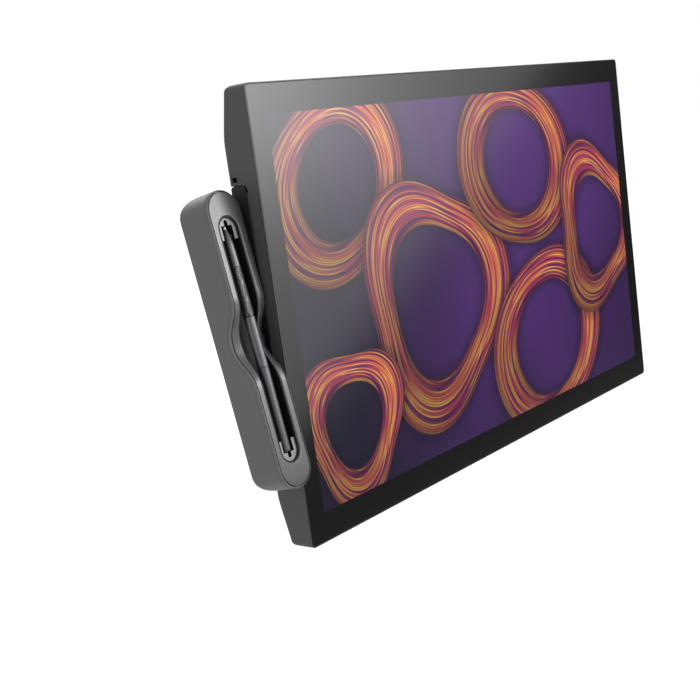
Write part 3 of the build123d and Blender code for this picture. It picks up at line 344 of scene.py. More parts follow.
BOARD = Finish("circuit_board", tone(22, 74, 48), 0.38, Texture.BOARD, pitch=6.0, relief=0.05)
GUIDE = Finish("light_guide", tone(224, 230, 236), 0.25, Texture.DOTS, pitch=1.5, transmission=0.4)
WASHER = Finish("washer_plastic", tone(38, 38, 40), 0.5, pitch=0.3)
CARD = Finish("black_card", tone(6, 6, 6), 0.9, specular=0.0)

DRESS = {
    ALUMINIUM: "heat_spreader cooling_fins",
    BLACK: "power_inlet fan_housings fan_rotor_left fan_rotor_right power_switch",
    BOARD: "led_strip pen_sensor_board main_board power_board key_boards pen_board",
    CASING: "rear_cover",
    COATED: "tray_bracket pivot_pin",
    COPPER: "heat_pipe pen_coil",
    COVER: "tray_cover",
    CRADLE: "cradle_upper cradle_lower",
    DARK_STEEL: "mount_plate",
    FRAME: "front_frame",
    GUIDE: "light_guide",
    KEY: "power_button " + " ".join(f"shortcut_key_{side}_{n}" for side in ("left", "right") for n in range(1, 5)),
    LINER: "tray_liner",
    PEN_BODY: "pen_cone pen_grip pen_middle pen_tail",
    PEN_KEY: "pen_button_1 pen_button_2 pen_button_3",
    PEN_NIB: "pen_nib",
    PEN_RING: "pen_ring",
    RUBBER: "grip_pad_left grip_pad_right",
    SCREW: "casing_screws bracket_screws tray_screws",
    SHELL: "tray_shell",
    STEEL: "backlight_pan shield_plate board_screws usb_ports video_ports pivot_nut",
    WASHER: "friction_washers",
}


@dataclass(frozen=True)
class Band:
    """One closed band of fine coloured lines in the screen's picture, in millimetres."""

    x: float
    z: float
    radius: float
    half_width: float
    swell: float
    lobes: float
    turn: float


@dataclass(frozen=True)
class ScreenPicture:
    """The glass with its black border, and a plain picture of interlaced bands shining through.

    The fields named glow and fall shape the ground's light, those named strand the fine lines in the bands, and
    those named shade the bands' roundness and their shadow on the ground. Haze and speck are the scale and the
    detail of a noise.
    """

    name: str = "screen_picture"
    half_width: float = 263.5
    half_height: float = 148.2
    glow: float = 1.0
    strands: float = 10.0
    drift: float = 0.45
    roughness: float = 0.33
    haze: Pair = (4.0, 2.0)
    speck: Pair = (2500.0, 1.0)
    speck_strength: float = 0.04
    speck_height: float = 0.01
    glow_middle: float = 80.0
    glow_reach: float = 260.0
    glow_level: float = 0.25
    fall_out: float = -0.55
    fall_up: float = 0.0014
    strand_lean: float = 1.6
    strand_spread: float = 3.7
    strand_floor: float = 0.3
    strand_turn: float = 1.3
    shade_side: float = 0.28
    shade_turn: float = 0.6
    shade_edge: float = 0.1
    shade_reach: float = 1.7
    shade_depth: float = 0.45
    half_swell: float = 0.22
    glass: Colour = tone(8, 8, 9)
    groove: Colour = (0.012, 0.004, 0.02, 1.0)
    shadow: Colour = tone(14, 6, 24)
    ground: tuple = ((0.0, tone(26, 20, 42)), (0.5, tone(54, 28, 78)), (1.0, tone(84, 44, 118)))
    hues: tuple = (
        (0.26, tone(62, 20, 80)),
        (0.36, tone(122, 30, 92)),
        (0.43, tone(196, 66, 92)),
        (0.49, tone(238, 132, 72)),
        (0.53, tone(244, 184, 84)),
        (0.58, tone(206, 74, 96)),
        (0.66, tone(98, 28, 98)),
        (0.78, tone(222, 112, 84)),
    )
    bands: tuple = (
        Band(-196.0, 92.0, 62.0, 17.0, 7.0, 2.0, 0.4),
        Band(-84.0, -18.0, 84.0, 19.0, 9.0, 3.0, 1.1),
        Band(64.0, 84.0, 70.0, 18.0, 8.0, 2.0, 2.0),
        Band(-214.0, -92.0, 48.0, 14.0, 5.0, 3.0, 0.2),
        Band(90.0, -88.0, 76.0, 18.0, 8.0, 2.0, 0.9),
        Band(206.0, 6.0, 66.0, 17.0, 8.0, 3.0, 1.7),
    )

    def material(self) -> Material:
        """Makes the screen's material.

        Returns:
            The material: a black border round a lit picture, under satin glass.
        """
        made, graph = new_material(self.name)
        step = graph.math
        place = graph.add("TexCoord").outputs["Object"]
        axes = graph.add("SeparateXYZ", Vector=place).outputs
        x, z = step("DIVIDE", axes["X"], MM), step("DIVIDE", axes["Z"], MM)
        off = step("DIVIDE", step("SUBTRACT", x, self.glow_middle), self.glow_reach)
        fall = step("MULTIPLY", step("MULTIPLY", off, off), self.fall_out)
        fall = step("ADD", fall, step("MULTIPLY", z, self.fall_up))
        level = step("ADD", step("ADD", fall, self.glow_level), graph.noise(place, *self.haze), clamp=True)
        colour = graph.ramp(level, self.ground)
        for band in self.bands:
            colour = self.lay(graph, colour, band, x, z)
        beside = step("LESS_THAN", step("ABSOLUTE", x), self.half_width)
        inside = step("MULTIPLY", beside, step("LESS_THAN", step("ABSOLUTE", z), self.half_height))
        speck = graph.noise(place, *self.speck)
        bump = graph.add("Bump", Strength=self.speck_strength, Distance=self.speck_height * MM, Height=speck)
        shader = graph.add(
            "BsdfPrincipled",
            Base_Color=self.glass,
            Roughness=self.roughness,
            Normal=bump.outputs["Normal"],
            Emission_Color=graph.blend(inside, DARK, colour),
            Emission_Strength=self.glow,
        )
        graph.add("OutputMaterial", Surface=shader.outputs[0])
        return made

    def lay(self, graph: Graph, under: Socket, band: Band, x: Socket, z: Socket) -> Socket:
        """Lays one band over the picture.

        Args:
            graph: The material's nodes.
            under: The picture so far.
            band: The band's place and shape.
            x: The place across the screen.
            z: The place up the screen.

        Returns:
            The picture with the band on it.
        """
        step = graph.math
        right, up = step("SUBTRACT", x, band.x), step("SUBTRACT", z, band.z)
        angle = step("ARCTAN2", up, right)
        square = step("ADD", step("MULTIPLY", right, right), step("MULTIPLY", up, up))
        lobe = step("SINE", step("ADD", step("MULTIPLY", angle, band.lobes), band.turn))
        middle = step("ADD", step("MULTIPLY", lobe, band.swell), band.radius)
        half = step("ADD", step("MULTIPLY", lobe, self.half_swell * band.half_width), band.half_width)
        across = step("DIVIDE", step("SUBTRACT", step("SQRT", square), middle), half)
        edge = step("ABSOLUTE", across)
        lean = step("SINE", step("ADD", step("MULTIPLY", angle, band.lobes - 1), self.strand_turn))
        strand = step("ADD", step("MULTIPLY", across, self.strands), step("MULTIPLY", lean, self.strand_lean))
        line = step("MULTIPLY", step("FLOOR", strand), self.strand_spread)
        along = [step("MULTIPLY", step(axis, angle), self.drift) for axis in ("COSINE", "SINE")]
        streak = graph.noise(graph.add("CombineXYZ", None, line, *along).outputs[0], 1.0, 1.0)
        hue = graph.ramp(streak, self.hues)
        groove = step("SINE", step("MULTIPLY", step("FRACT", strand), pi))
        groove = step("ADD", step("MULTIPLY", groove, 1 - self.strand_floor), self.strand_floor)
        round_off = step("SQRT", step("SUBTRACT", 1.0, step("MULTIPLY", edge, edge), clamp=True))
        side = step("MULTIPLY", step("SINE", step("ADD", angle, self.shade_turn)), self.shade_side)
        side = step("ADD", side, 1 - self.shade_side)
        shade = step("ADD", step("MULTIPLY", round_off, 1 - self.shade_edge), self.shade_edge)
        shade = step("MULTIPLY", step("MULTIPLY", shade, side), groove)
        lit = graph.blend(shade, self.groove, hue)
        shadow = graph.add("MapRange", EASE, edge, 1.0, self.shade_reach, self.shade_depth, 0.0)
        ground = graph.blend(shadow.outputs["Result"], under, self.shadow)
        return graph.blend(step("LESS_THAN", edge, 1.0), ground, lit)


# Meshes made of rows of points


@dataclass
class Outline:
    """A closed line in the XZ plane, with the direction outwards at each point, in millimetres."""

    points: list[Pair]
    outwards: list[Pair]

    @classmethod
    def stadium(cls, length: float, width: float) -> "Outline":
        """Draws an upright slot with round ends.

        Args:
            length: Its whole height.
            width: Its width.

        Returns:
            The outline.
        """
        steps, straight = 20, 110
        radius, reach = width / 2, (length - width) / 2
        points, outwards = [], []
        for side in (1, -1):
            for step in range(straight):
                z = side * reach * (2 * step / straight - 1)
                points.append((side * radius, z))
                outwards.append((side, 0.0))
            for step in range(2 * steps):
                turn = pi / 2 * step / steps
                normal = (side * cos(turn), side * sin(turn))
                points.append((radius * normal[0], side * reach + radius * normal[1]))
                outwards.append(normal)
        return cls(points, outwards)

    @classmethod
    def rectangle(cls, width: float, height: float, radius: float) -> "Outline":
        """Draws a rectangle with rounded corners about the middle.

        Args:
            width: Its size in X.
            height: Its size in Z.
            radius: Its corner radius.

        Returns:
            The outline.
        """
        steps = 8
        points, outwards = [], []
        for corner, (sx, sz) in enumerate(((1, 1), (-1, 1), (-1, -1), (1, -1))):
            for step in range(steps + 1):
                turn = pi / 2 * (corner + step / steps)
                normal = (cos(turn), sin(turn))
                centre = (sx * (width / 2 - radius), sz * (height / 2 - radius))
                points.append((centre[0] + radius * normal[0], centre[1] + radius * normal[1]))
                outwards.append(normal)
        return cls(points, outwards)

    def row(self, inset: float, depth: Rise | float) -> Row:
        """Draws the outline in by an inset, at a Y that is given or follows a line."""
        places = [(x - nx * inset, z - nz * inset) for (x, z), (nx, nz) in zip(self.points, self.outwards)]
        return [(x, depth(x, z) if callable(depth) else depth, z) for x, z in places]


def weave(mesh: BMesh, rows: Sequence[Row], loop: bool = False) -> None:
    """Joins closed rows of points into one closed form.

    Args:
        mesh: The mesh that takes the form.
        rows: Rows of as many points each, in millimetres.
        loop: Whether the last row joins the first one; otherwise both ends are capped.
    """
    grid = [[mesh.verts.new(Vector(point) * MM) for point in row] for row in rows]
    pairs = list(zip(grid, grid[1:])) + ([(grid[-1], grid[0])] if loop else [])
    for low, high in pairs:
        for index in range(len(low)):
            ahead = (index + 1) % len(low)
            mesh.faces.new((low[index], low[ahead], high[ahead], high[index]))
    if not loop:
        mesh.faces.new(grid[0])
        mesh.faces.new(grid[-1])
    bmesh.ops.remove_doubles(mesh, verts=mesh.verts, dist=MERGE)
    bmesh.ops.dissolve_degenerate(mesh, edges=mesh.edges, dist=TINY)
    bmesh.ops.recalc_face_normals(mesh, faces=mesh.faces)


def skin(name: str, rows: Sequence[Row], place: Matrix, loop: bool = False) -> Object:
    """Makes a piece of one closed form.

    Args:
        name: The piece's name.
        rows: Rows of as many points each, in millimetres.
        place: Where the piece stands.
        loop: Whether the last row joins the first one; otherwise both ends are capped.

    Returns:
        The piece.
    """
    mesh = bmesh.new()
    weave(mesh, rows, loop)
    return piece(name, mesh, place)


def stand(name: str, data: ID) -> Object:
    """Puts a mesh, a lamp or a camera in the scene.

    Args:
        name: The object's name.
        data: What it shows.

    Returns:
        The object.
    """
    made = bpy.data.objects.new(name, data)
    bpy.context.scene.collection.objects.link(made)
    return made


def piece(name: str, mesh: BMesh, place: Matrix) -> Object:
    """Turns a mesh in the making into an object with smooth faces and crisp edges.

    Args:
        name: The piece's name.
        mesh: Its mesh, which is freed.
        place: Where it stands, baked into its points.

    Returns:
        The object.
    """
    mesh.transform(place)
    for edge in mesh.edges:
        if len(edge.link_faces) == 2:
            edge.smooth = edge.calc_face_angle(0.0) < CREASE
    for face in mesh.faces:
        face.smooth = True
    data = bpy.data.meshes.new(name)
    mesh.to_mesh(data)
    mesh.free()
    made = stand(name, data)
    made.modifiers.new("even_faces", "WEIGHTED_NORMAL").keep_sharp = True
    return made


def cut(mesh: BMesh, tool: BMesh) -> BMesh:
    """Cuts one closed mesh out of another, and frees both.

    Args:
        mesh: The mesh that is cut.
        tool: The mesh that is taken away.

    Returns:
        The mesh that is left.
    """
    stock = []
    for name, source in (("cut_stock", mesh), ("cut_tool", tool)):
        data = bpy.data.meshes.new(name)
        source.to_mesh(data)
        source.free()
        stock.append(stand(name, data))
    step = stock[0].modifiers.new("cut", "BOOLEAN")
    step.operation, step.solver, step.object = "DIFFERENCE", "EXACT", stock[1]
    left = bmesh.new()
    left.from_object(stock[0], bpy.context.evaluated_depsgraph_get())
    for spent in stock:
        bpy.data.meshes.remove(spent.data)
    return left


def ring(radius: float, depth: float, at: Pair, corners: int = 0) -> Row:
    """Draws a closed row about an axis along Y: a circle, or a polygon whose sides take points too.

    Args:
        radius: The radius, to the middle of a side where it has corners.
        depth: Its Y.
        at: The axis' X and Z.
        corners: How many corners it has, or none for a circle.

    Returns:
        The row's points.
    """
    row, count = [], 48
    for step in range(count):
        angle = 2 * pi * step / count
        reach = radius
        if corners:
            sector = 2 * pi / corners
            reach = radius / cos((angle + sector / 2) % sector - sector / 2)
        row.append((at[0] + reach * cos(angle), depth, at[1] + reach * sin(angle)))
    return row


def settle(made: Object, finish: Finish | ScreenPicture, body: str, node: str = "") -> None:
    """Finishes a piece and hands it to its body.

    Args:
        made: The piece.
        finish: Its finish.
        body: The body that it moves with.
        node: The node that it stands for, if any.
    """
    made.data.materials.append(finish.material())
    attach(made, body)
    if node:
        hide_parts(node)


def quarter(steps: int) -> list[float]:
    """Gives the angles from 0 to a right angle, in a number of steps."""
    return [pi / 2 * step / steps for step in range(steps + 1)]


def bevel_rows(outline: Outline, front: float, rear: float, edge: float) -> list[Row]:
    """Draws a flat plate with rounded edges, from the middle of one face to the other.

    Args:
        outline: The plate's outline.
        front: Y of its front face.
        rear: Y of its rear face.
        edge: The radius of its edges.

    Returns:
        The rows.
    """
    rows = [(edge * (1 - sin(a)), front + edge * (1 - cos(a))) for a in quarter(4)]
    rows += [(edge * (1 - cos(a)), rear - edge * (1 - sin(a))) for a in quarter(4)]
    return [outline.row(*step) for step in rows]


def islands(node: str, place: Matrix) -> list[tuple[Vector, Vector]]:
    """Finds the box of each separate solid in a node.

    Args:
        node: The node's name.
        place: The axes that the boxes lie on.

    Returns:
        The lowest and highest corners, in millimetres.
    """
    mesh = bmesh.new()
    mesh.from_mesh(frame["nodes"][node].data)
    mesh.transform(place.inverted())
    bmesh.ops.remove_doubles(mesh, verts=mesh.verts, dist=TINY)
    boxes, seen = [], set()
    for start in mesh.verts:
        if start in seen:
            continue
        group, edge = {start}, [start]
        while edge:
            vert = edge.pop()
            near = {link.other_vert(vert) for link in vert.link_edges} - group
            group |= near
            edge += near
        seen |= group
        spans = [(min(v.co[axis] for v in group), max(v.co[axis] for v in group)) for axis in range(3)]
        boxes.append(tuple(Vector(span[end] for span in spans) / MM for end in range(2)))
    mesh.free()
    return boxes


@dataclass
class ScrewSet:
    """Socket screws that stand along Y, in millimetres."""

    node: str
    head_height: float
    body: str = "display"
    place: Matrix = field(default_factory=Matrix)
    head_gap: float = 0.04
    shank_share: float = 0.53
    socket_share: float = 0.5
    socket_depth: float = 0.65
    socket_edge: float = 0.12
    drill_share: float = 0.3
    edge: float = 0.25
    edge_share: float = 0.3

    def build(self) -> None:
        """Builds every screw of the set, each with a chamfered head and a hexagon socket."""
        mesh = bmesh.new()
        boxes = islands(self.node, self.place)
        for low, high in boxes:
            self.turn(mesh, low, high)
        settle(piece(f"{self.node}_piece", mesh, self.place), SCREW, self.body, self.node)
        LOG.info("built %d screws for %s", len(boxes), self.node)

    def turn(self, mesh: BMesh, low: Vector, high: Vector) -> None:
        """Turns one screw.

        Args:
            mesh: The mesh that takes it.
            low: The lowest corner of its solid.
            high: The highest corner of its solid.
        """
        at = ((low.x + high.x) / 2, (low.z + high.z) / 2)
        head = (high.x - low.x) / 2 - self.head_gap
        shank, socket = head * self.shank_share, head * self.socket_share
        top, seat = high.y - self.head_gap, high.y - self.head_height
        profile = [(shank - self.edge, low.y), (shank, low.y + self.edge), (shank, seat), (head, seat)]
        part = self.edge_share * self.edge
        profile += [(head, top - self.edge), (head - part, top - part), (head - self.edge, top)]
        floor, edge = top - self.socket_depth * self.head_height, self.socket_edge
        hexagon = [(socket + edge, top), (socket, top - edge), (socket, floor)]
        hexagon.append((self.drill_share * socket, floor - edge))
        rows = [ring(radius, depth, at) for radius, depth in profile]
        weave(mesh, rows + [ring(radius, depth, at, corners=6) for radius, depth in hexagon])


# The pen tray


@dataclass
class PenTray:
    """The tray's shell, cover and dark channel, on the hinge's own axes, in millimetres."""

    tilt: float = -9.84
    length: float = 219.2
    width: float = 32.2
    front: float = -21.4
    rear: float = 9.5
    rear_radius: float = 11.0
    wall: float = 2.2
    cover_inset: float = 1.0
    cover_gap: float = 0.15
    groove: float = 0.55
    cover_thickness: float = 2.0
    cover_edge: float = 0.25
    cover_fine: float = 0.08
    cover_land: float = 0.2
    scoop_half: float = 33.5
    scoop_depth: float = 13.2
    scoop_angle: float = 34.2
    saddle: float = 0.28
    channel_length: float = 181.0
    channel_width: float = 19.2
    channel_chamfer: float = 0.6
    liner_gap: float = 0.1
    liner_wall: float = 0.9
    liner_depth: float = 14.2
    liner_floor: float = 1.6
    liner_edge: float = 0.1
    liner_round: float = 1.6
    liner_share: float = 0.8
    rim_width: float = 0.95
    rim_depth: float = 2.2
    rim_start: float = 0.1
    vee: tuple[float, float, float] = (0.3, 0.65, 1.0)
    edge_round: float = 1.5
    rear_growth: float = 1.35
    pocket_gap: float = 0.12
    pocket_depth: float = 1.05
    pocket_edge: Pair = (0.4, 0.15)
    pocket_reach: float = 0.25
    body: str = "tray"
    place: Matrix = field(init=False)

    def __post_init__(self) -> None:
        """Finds the hinge's axis in the frame."""
        hinge = next(joint for joint in frame["joints"] if joint["name"] == "tray_tilt")
        low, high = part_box("tray_shell")
        pivot = Vector(hinge["pos_m"])
        pivot.x = (low.x + high.x) / 2
        self.place = Matrix.Translation(pivot) @ Matrix.Rotation(radians(self.tilt), 4, "X")

    def scoop(self, z: float) -> float:
        """Shapes the finger scoop from two shoulders, two flanks and a round floor.

        Args:
            z: A height on the tray.

        Returns:
            How far the front line lies back there.
        """
        slope = radians(self.scoop_angle)
        rise, run = sin(slope), cos(slope)
        radius = (self.scoop_half * rise / run - self.scoop_depth) / (2 * (1 / run - 1))
        away = abs(z)
        if away >= self.scoop_half:
            return 0.0
        if away > self.scoop_half - radius * rise:
            return radius - sqrt(radius**2 - (self.scoop_half - away) ** 2)
        if away < radius * rise:
            return self.scoop_depth - radius + sqrt(radius**2 - away**2)
        start = self.scoop_half - radius * rise
        return radius * (1 - run) + (start - away) * rise / run

    def front_line(self, drop: float = 0.0) -> Rise:
        """Follows the front face, whose scoop is deepest at the tray's outer edges.

        Args:
            drop: How far behind the face the line runs.

        Returns:
            The line.
        """
        rim = self.channel_width / 2

        def line(x: float, z: float) -> float:
            """Gives the face's Y at a place in X and Z."""
            out = min(1.0, max(0.0, (abs(x) - rim) / (self.width / 2 - self.cover_inset - rim)))
            return self.front + self.scoop(z) * (1 - self.saddle * (1 - out)) + drop

        return line

    def rear_line(self, drop: float = 0.0) -> Rise:
        """Follows the rear face with its rounded ends.

        Args:
            drop: How far before the face the line runs.

        Returns:
            The line.
        """

        def line(_x: float, z: float) -> float:
            """Gives the face's Y at a place in X and Z."""
            past = max(0.0, min(abs(z) - (self.length / 2 - self.rear_radius), self.rear_radius))
            return self.rear - (self.rear_radius - sqrt(self.rear_radius**2 - past**2)) - drop

        return line

    def between(self, share: float) -> Rise:
        """Follows the outer wall, a share of the way from the rim to the rear edge."""
        near, far = self.front_line(self.rim_depth + self.vee[2]), self.rear_line(self.edge_round)
        return lambda x, z: near(x, z) + share * (far(x, z) - near(x, z))

    def build_shell(self) -> None:
        """Builds the outer shell: inside floor, inner wall, ledge, rim, outer wall and rear."""
        outline = Outline.stadium(self.length, self.width)
        spine = self.width / 2
        inner = [outline.row(spine * k, self.rear_line(self.wall)) for k in (1.0, 0.8, 0.6, 0.4)]
        inner.append(outline.row(self.wall, self.rear_line(self.wall)))
        ledge = self.front_line(self.cover_thickness)
        inner += [outline.row(inset, ledge) for inset in (self.wall, self.cover_inset)]
        rim = [(self.cover_inset, self.rim_start)]
        rim += [(self.rim_width * (1 - sin(a)), self.rim_depth * (1 - cos(a))) for a in quarter(6)]
        top, middle, foot = self.vee
        rim += [(0.0, self.rim_depth + top), (middle - top, self.rim_depth + middle), (0.0, self.rim_depth + foot)]
        rows = inner + [outline.row(inset, self.front_line(drop)) for inset, drop in rim]
        rows += [outline.row(0.0, self.between(k / 8)) for k in range(1, 8)]
        edge = self.edge_round
        rows += [outline.row(edge * (1 - cos(a)), self.rear_line(edge * (1 - sin(a)))) for a in quarter(6)]
        inset = edge
        while inset < spine:
            inset = min(spine, inset * self.rear_growth)
            rows.append(outline.row(inset, self.rear_line()))
        shell = bmesh.new()
        weave(shell, rows)
        made = piece("tray_shell_piece", cut(shell, self.screw_pockets()), self.place)
        settle(made, SHELL, self.body, "tray_shell")

    def screw_pockets(self) -> BMesh:
        """Makes the room that the screws' heads take in the shell's rear.

        Returns:
            One closed pocket for each screw.
        """
        pockets = bmesh.new()
        for low, high in islands("tray_screws", self.place):
            at = ((low.x + high.x) / 2, (low.z + high.z) / 2)
            radius = (high.x - low.x) / 2 + self.pocket_gap
            seat = self.rear - self.pocket_depth
            wide, deep = self.pocket_edge
            profile = ((radius, seat), (radius, self.rear - deep), (radius + wide, self.rear + self.pocket_reach))
            weave(pockets, [ring(size, depth, at) for size, depth in profile])
        return pockets

    def build_cover(self) -> None:
        """Builds the front cover as a band between its outer edge and the channel's rim."""
        inset = self.cover_inset + self.cover_gap + self.groove
        outer = Outline.stadium(self.length - 2 * inset, self.width - 2 * inset)
        hole = Outline.stadium(self.channel_length, self.channel_width)
        low, high = self.front_line(self.cover_thickness), self.front_line()
        edge, fine = self.cover_edge, self.front_line(self.cover_fine)
        rows = [outer.row(0.0, low), outer.row(0.0, self.front_line(edge)), outer.row(self.cover_fine, fine)]
        outside = outer.row(edge, high)
        inside = hole.row(-self.channel_chamfer - self.cover_land, high)
        for k in range(7):
            row = [tuple(a + (b - a) * k / 6 for a, b in zip(p, q)) for p, q in zip(outside, inside)]
            rows.append([(x, high(x, z), z) for x, _, z in row])
        rows.append(hole.row(-self.channel_chamfer, fine))
        rows += [hole.row(0.0, self.front_line(self.channel_chamfer)), hole.row(0.0, low)]
        settle(skin("tray_cover_piece", rows, self.place, loop=True), COVER, self.body, "tray_cover")

    def build_liner(self) -> None:
        """Builds the dark trough, its rim following the cover."""
        outline = Outline.stadium(self.channel_length - 2 * self.liner_gap, self.channel_width - 2 * self.liner_gap)
        spine = self.channel_width / 2 - self.liner_gap
        floor = self.front + self.liner_depth
        rim = self.front_line(self.channel_chamfer)
        wall = self.liner_wall

        def fillet_row(turn: float) -> Row:
            """Draws a row of the round between wall and floor, which is smaller where the trough is shallow.

            Args:
                turn: The row's angle in the round.

            Returns:
                The row's points.
            """
            row = []
            for (x, z), (nx, nz) in zip(outline.points, outline.outwards):
                size = min(self.liner_round, self.liner_share * (floor - rim(x, z)))
                inset = wall + size * (1 - cos(turn))
                row.append((x - nx * inset, floor - size * (1 - sin(turn)), z - nz * inset))
            return row

        under, lip = floor + self.liner_floor, self.front_line(self.channel_chamfer + self.liner_edge)
        edge = self.liner_edge
        steps = [(spine, under), (0.0, under), (0.0, lip), (edge, rim), (wall - edge, rim), (wall, lip)]
        rows = [outline.row(*step) for step in steps] + [fillet_row(turn) for turn in quarter(5)]
        rows += [outline.row(inset, floor) for inset in (0.6 * spine, spine)]
        settle(skin("tray_liner_piece", rows, self.place), LINER, self.body, "tray_liner")

    def build(self) -> None:
        """Builds and finishes the tray's visible shells."""
        self.build_shell()
        self.build_cover()
        self.build_liner()
        ScrewSet("tray_screws", head_height=1.0, body=self.body, place=self.place).build()
        LOG.info("built the tray's shell, cover and channel")


# The display's front


@dataclass
class DisplayFront:
    """The glass with its picture and the thin metal frame round it, in millimetres."""

    glass_edge: float = 0.3
    frame_edge: float = 0.35
    corner: float = 3.1
    frame_corner: float = 4.0
    frame_fine: float = 0.1
    frame_seat: Pair = (1.1, 1.7)
    frame_reach: float = 3.0
    seal: tuple[float, float, float] = (1.2, 1.4, 0.3)
    seal_span: Pair = (-13.6, -3.4)
    seal_edge: float = 0.2
    seal_inset: float = 0.3
    body: str = "display"

    def build(self) -> None:
        """Builds the glass, the frame and the foam seal above the tray's bracket."""
        low, high = (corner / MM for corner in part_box("cover_glass"))
        outline = Outline.rectangle(high.x - low.x, high.z - low.z, self.corner)
        glass = skin("glass_piece", bevel_rows(outline, low.y, high.y, self.glass_edge), Matrix())
        settle(glass, ScreenPicture(), self.body, "cover_glass")
        self.build_frame(high.x - low.x)
        self.build_seal()
        LOG.info("built the glass, its frame and the seal")

    def build_seal(self) -> None:
        """Builds the foam strip that closes the gap over the bracket's long ear."""
        low, high = (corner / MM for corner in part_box("tray_bracket"))
        outline = Outline.rectangle(*self.seal)
        place = Matrix.Translation(Vector((low.x + self.seal[0] / 2 + self.seal_inset, 0.0, high.z)) * MM)
        settle(skin("grip_seal", bevel_rows(outline, *self.seal_span, self.seal_edge), place), RUBBER, self.body)

    def build_frame(self, glass_width: float) -> None:
        """Builds the frame as one closed profile led round the glass.

        Args:
            glass_width: The glass's width, which gives the frame's rim.
        """
        low, high = (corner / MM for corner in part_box("front_frame"))
        outline = Outline.rectangle(high.x - low.x, high.z - low.z, self.frame_corner)
        edge, fine = self.frame_edge, self.frame_fine
        rim = (high.x - low.x - glass_width) / 2 - fine
        seat, back = (low.y + depth for depth in self.frame_seat)
        profile = [(edge * (1 - cos(a)), low.y + edge * (1 - sin(a))) for a in quarter(4)]
        profile += [(rim - fine, low.y), (rim, low.y + fine), (rim, seat), (self.frame_reach, seat)]
        profile += [(self.frame_reach, back), (0.0, back)]
        made = skin("frame_piece", [outline.row(*step) for step in profile], Matrix(), loop=True)
        settle(made, FRAME, self.body, "front_frame")


# The pen


@dataclass
class Pen:
    """The pen's turned pieces, in millimetres and degrees, with profiles of distance from the tip and radius."""

    tray: PenTray
    tip: float = 83.6
    axis_drop: float = 4.7
    button_side: float = -125.0
    button_size: Pair = (8.6, 2.6)
    button_places: tuple[float, ...] = (35.0, 47.3, 59.6)
    # Spread, lift, sink and ray start of a thin black ring of painted shade round each button, for the shaded gap
    # there
    gap_shade_span: Pair = (0.14, 0.55)
    gap_shade_lift: float = 0.05
    gap_shade_sink: float = -0.1
    gap_shade_reach: float = 9.0
    points: int = 64
    body: str = "pen"
    nib: Profile = ((0.0, 0.2), (0.08, 0.45), (0.3, 0.7), (0.7, 0.85), (2.6, 0.85))
    cone: Profile = (
        *((2.3, 0.95), (2.2, 1.15), (2.35, 1.4), (4.6, 1.95), (7.4, 2.55), (10.0, 3.02), (12.4, 3.4)),
        *((14.0, 3.5), (20.0, 3.64), (29.3, 3.79), (29.5, 3.6), (29.6, 3.0)),
    )
    ring: Profile = (
        *((64.65, 3.0), (64.65, 3.72), (64.8, 3.85), (65.15, 3.85), (65.3, 3.68), (65.45, 3.85)),
        *((65.8, 3.85), (65.95, 3.72), (65.95, 3.0)),
    )
    middle: Profile = ((66.05, 3.0), (66.05, 3.8), (66.25, 4.0), (103.0, 4.0), (103.2, 3.85), (103.2, 3.0))
    tail: Profile = (
        *((103.35, 3.0), (103.35, 3.85), (103.5, 4.0), (120.0, 3.87), (140.0, 3.71), (160.0, 3.55)),
        *((164.9, 3.5), (165.5, 3.4), (165.9, 3.15), (166.08, 2.7), (166.1, 1.5)),
    )

    def turn(self, node: str, finish: Finish, profile: Profile) -> None:
        """Turns a profile on the pen's axis, in place of a node.

        Args:
            node: The node.
            finish: Its finish.
            profile: Pairs of distance behind the tip and radius.
        """
        centre = self.tray.front + self.axis_drop
        turns = [2 * pi * step / self.points for step in range(self.points)]
        rows = []
        for behind, radius in profile:
            z = self.tip - behind
            rows.append([(radius * cos(turn), centre + radius * sin(turn), z) for turn in turns])
        body = node if node in frame["bodies"] else self.body
        settle(skin(node.removeprefix("pen_") + "_piece", rows, self.tray.place), finish, body, node)

    def build(self) -> None:
        """Builds the nib, the cone, the ring, the two rear barrels and the dark rings of painted shade round the
        buttons.
        """
        self.turn("pen_nib", PEN_NIB, self.nib)
        self.turn("pen_cone", PEN_BODY, self.cone)
        self.turn("pen_ring", PEN_RING, self.ring)
        self.turn("pen_middle", PEN_BODY, self.middle)
        self.turn("pen_tail", PEN_BODY, self.tail)
        self.build_gap_shade()
        LOG.info("built the pen's turned pieces and the rims of its buttons")

    def build_gap_shade(self) -> None:
        """Lays a thin dark ring round each side button, on the points where rays meet the grip: painted shade for
        the shaded gap between button and grip.
        """
        grip = frame["nodes"]["pen_grip"].data
        tree = BVHTree.FromPolygons([vert.co for vert in grip.vertices], [face.vertices for face in grip.polygons])
        place, side = self.tray.place, radians(self.button_side)
        out = Vector((cos(side), sin(side), 0.0))
        across = Vector((-sin(side), cos(side), 0.0))
        outline = Outline.stadium(*self.button_size)

        def row(middle: Vector, spread: float, lift: float) -> Row:
            """Draws the button's outline on the grip.

            Args:
                middle: The button's middle on the pen's axis.
                spread: How far outside the outline the row lies.
                lift: How far it stands off the grip.

            Returns:
                The row's points.
            """
            points = []
            for x, _, z in outline.row(-spread, 0.0):
                start = middle + across * x + Vector((0.0, 0.0, z)) + out * self.gap_shade_reach
                hit = tree.ray_cast(place @ (start * MM), place.to_3x3() @ -out)[0]
                points.append(tuple(place.inverted() @ hit / MM + out * lift))
            return points

        mesh = bmesh.new()
        near, far = self.gap_shade_span
        for behind in self.button_places:
            middle = Vector((0.0, self.tray.front + self.axis_drop, self.tip - behind))
            corners = ((near, self.gap_shade_sink), (near, self.gap_shade_lift), (far, self.gap_shade_lift), (far, self.gap_shade_sink))
            weave(mesh, [row(middle, spread, lift) for spread, lift in corners], loop=True)
        # The black ring is painted shade: it draws the shaded gap round each button as a dark band
        settle(piece("button_gap_shade", mesh, place), LINER, self.body)


# The studio


